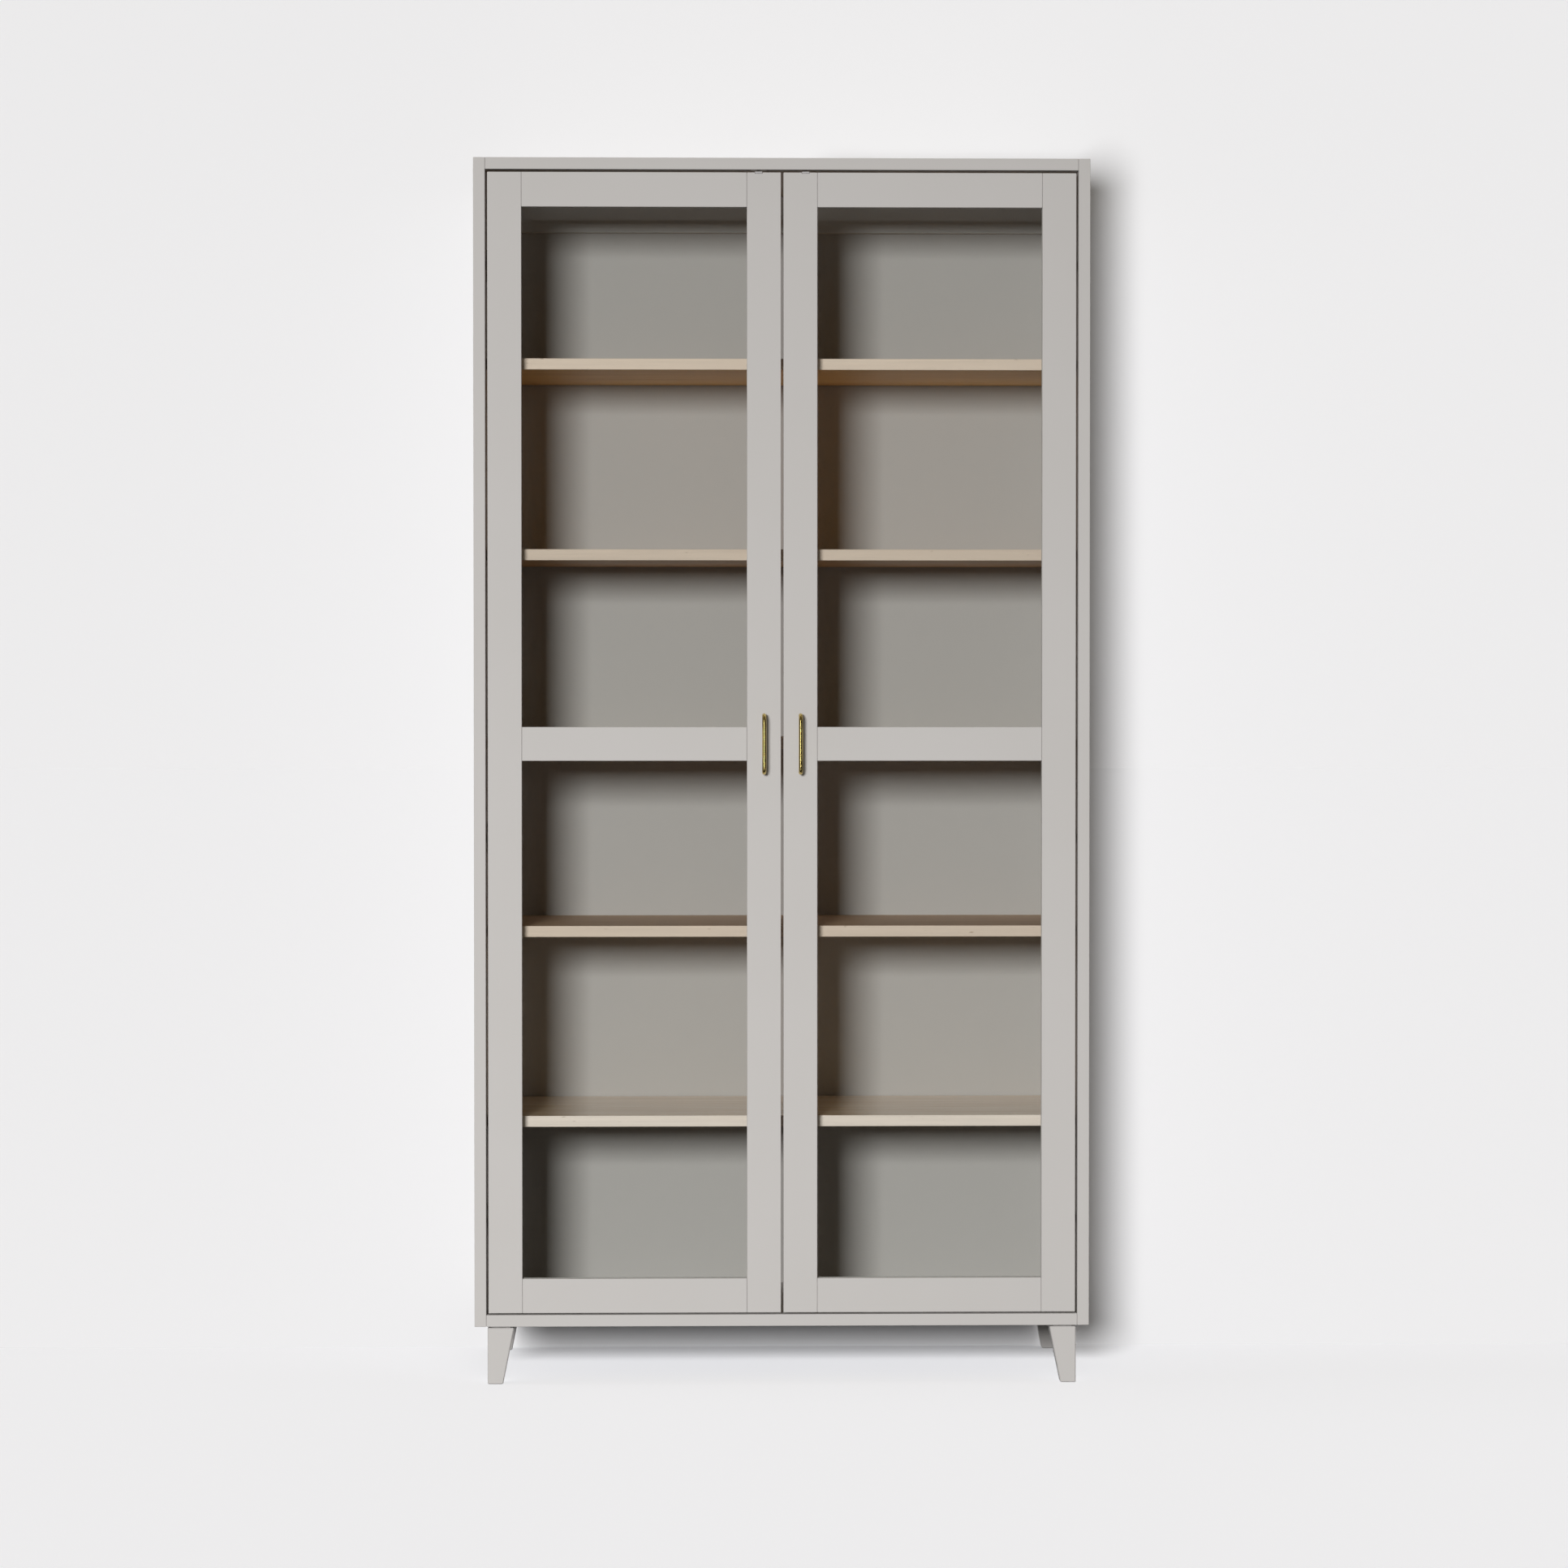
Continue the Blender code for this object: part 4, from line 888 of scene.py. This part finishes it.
def add_lamps(high_wall, low_wall, floor):
    """Softbox and rear panels for the cabinet, panels for the brass, lamps for the backdrop.

    The low backdrop shows the shadow of the case and its doors, and none of the slender legs. The
    high wall's lamp stands low, so that its shadow begins at the case's top, and only the right
    side and door shade it.
    """
    pieces = [piece for piece in bpy.context.scene.objects if piece.type == "MESH"]
    papers = [high_wall, low_wall, floor]
    softbox = add_lamp(
        "softbox", "AREA", SOFTBOX_PLACE, SOFTBOX_AIM, shape="RECTANGLE", size=SOFTBOX_SIZE[0],
        size_y=SOFTBOX_SIZE[1], energy=SOFTBOX_POWER, spread=math.radians(SOFTBOX_SPREAD))
    softbox.visible_glossy = False
    cabinet_only = linked("papers_left_out", papers, "EXCLUDE")
    softbox.light_linking.receiver_collection = cabinet_only
    across, behind, up = REAR_PANEL_PLACE
    for side, way in SIDES:
        panel = add_lamp(
            f"{side}_rear_panel", "AREA", (way * across, behind, up), REAR_PANEL_AIM,
            size=REAR_PANEL_SIZE, energy=REAR_PANEL_POWER)
        panel.visible_camera = False
        panel.light_linking.receiver_collection = cabinet_only
    handles = linked(
        "brass_pieces", [piece for piece in pieces if finish("brass") in piece.data.materials[:]])
    panels = (
        ("glint_strip", GLINT_PLACE, GLINT_SIZE, GLINT_POWER),
        ("side_glow", SIDE_GLOW_PLACE, SIDE_GLOW_SIZE, SIDE_GLOW_POWER),
        ("low_glow", LOW_GLOW_PLACE, LOW_GLOW_SIZE, LOW_GLOW_POWER),
    )
    for name, place, size, power in panels:
        panel = add_lamp(
            name, "AREA", place, GLINT_AIM, shape="RECTANGLE", size=size[0], size_y=size[1],
            energy=power)
        panel.visible_diffuse = False
        panel.light_linking.receiver_collection = handles
    shading = linked("case_and_doors", [
        piece for piece in pieces if piece not in papers and not piece.name.endswith("_leg")])
    right_half = linked(
        "right_side_and_door", [piece for piece in pieces if piece.name.startswith("right_")])
    lamps = (
        ("high_lamp", HIGH_LAMP_PLACE, [high_wall], right_half),
        ("low_lamp", LOW_LAMP_PLACE, [low_wall, floor], shading),
    )
    for name, place, lit, blockers in lamps:
        lamp = add_lamp(
            name, "SUN", place, (0, 0, 0), energy=BACKDROP_LAMP_STRENGTH,
            angle=math.radians(BACKDROP_LAMP_SPREAD))
        lamp.light_linking.receiver_collection = linked(f"{name}_papers", lit)
        lamp.light_linking.blocker_collection = blockers


def add_fill(scene, colour):
    """A dim room in front of the cabinet and a bright one behind it, with a pale ground to look at.

    Mirror rays see the pale ground behind the cabinet and the dim room in front of it.
    """
    world = bpy.data.worlds.new("studio_fill")
    scene.world = world
    world.use_nodes = True
    tree = world.node_tree
    tree.nodes.clear()
    output = tree.nodes.new("ShaderNodeOutputWorld")
    direction = add_node(tree, "ShaderNodeTexCoord")
    axes = add_node(tree, "ShaderNodeSeparateXYZ", {}, {"Vector": direction.outputs["Generated"]})
    around = add_node(
        tree, "ShaderNodeMapRange", {"From Min": -FILL_TURN, "From Max": FILL_TURN},
        {"Value": axes.outputs["Y"]}, interpolation_type="SMOOTHSTEP")
    room = add_node(
        tree, "ShaderNodeMix", {6: (*FILL_FRONT, 1), 7: (*FILL_BEHIND, 1)},
        {"Factor": around.outputs["Result"]}, data_type="RGBA")
    above = add_node(
        tree, "ShaderNodeMapRange",
        {"From Min": 0.0, "From Max": FILL_RISE, "To Min": FILL_LOW, "To Max": 1.0},
        {"Value": axes.outputs["Z"]}, interpolation_type="SMOOTHSTEP")
    path = add_node(tree, "ShaderNodeLightPath")
    through = add_node(
        tree, "ShaderNodeMath", {},
        {0: path.outputs["Is Camera Ray"], 1: path.outputs["Is Transmission Ray"]},
        operation="MAXIMUM")
    mirrored = add_node(
        tree, "ShaderNodeMath", {}, {0: path.outputs["Is Glossy Ray"], 1: around.outputs["Result"]},
        operation="MULTIPLY")
    seen = add_node(
        tree, "ShaderNodeMath", {}, {0: through.outputs["Value"], 1: mirrored.outputs["Value"]},
        operation="MAXIMUM")
    strength = add_node(
        tree, "ShaderNodeMix", {3: 1.0},
        {"Factor": seen.outputs["Value"], 2: above.outputs["Result"]}, data_type="FLOAT")
    tint = add_node(
        tree, "ShaderNodeMix", {7: (*colour, 1)},
        {"Factor": seen.outputs["Value"], 6: room.outputs[2]}, data_type="RGBA")
    fill = add_node(
        tree, "ShaderNodeBackground", {},
        {"Color": tint.outputs[2], "Strength": strength.outputs[0]})
    tree.links.new(fill.outputs["Background"], output.inputs["Surface"])


def add_camera(scene):
    """The photograph's viewpoint."""
    lens = bpy.data.cameras.new("camera")
    lens.lens = CAMERA_LENS
    lens.sensor_width = SENSOR_WIDTH
    camera = bpy.data.objects.new("camera", lens)
    scene.collection.objects.link(camera)
    camera.location = CAMERA_PLACE
    camera.rotation_euler = (math.radians(90 + CAMERA_TILT), 0, math.radians(CAMERA_TURN))
    scene.camera = camera


class CABINET_PT_looks(bpy.types.Panel):
    """Lists the cabinet's steps, colours and sizes"""

    bl_idname = "CABINET_PT_looks"
    bl_label = "Display cabinet"
    bl_space_type = "VIEW_3D"
    bl_region_type = "UI"
    bl_category = "Cabinet"

    def draw(self, context):
        layout = self.layout
        for operator in STEPS:
            layout.operator(operator.bl_idname)
        for group in (context.scene.cabinet_colours, context.scene.cabinet_sizes):
            for name in group.__annotations__:
                layout.prop(group, name)


STEPS = (
    CABINET_OT_boards, CABINET_OT_shelves, CABINET_OT_shelf_pins, CABINET_OT_panes,
    CABINET_OT_fittings, CABINET_OT_handles, CABINET_OT_stage,
)
CLASSES = (CabinetColours, CabinetSizes, *STEPS, CABINET_PT_looks)


def register():
    """Make the classes and their settings known."""
    for known in CLASSES:
        bpy.utils.register_class(known)
    bpy.types.Scene.cabinet_colours = bpy.props.PointerProperty(type=CabinetColours)
    bpy.types.Scene.cabinet_sizes = bpy.props.PointerProperty(type=CabinetSizes)


def unregister():
    """Take the classes and their settings away again."""
    del bpy.types.Scene.cabinet_sizes
    del bpy.types.Scene.cabinet_colours
    for known in reversed(CLASSES):
        bpy.utils.unregister_class(known)


def main():
    """Dress the cabinet step by step."""
    register()
    for step in STEPS:
        group, name = step.bl_idname.split(".")
        getattr(getattr(bpy.ops, group), name)()


if __name__ == "__main__":
    main()
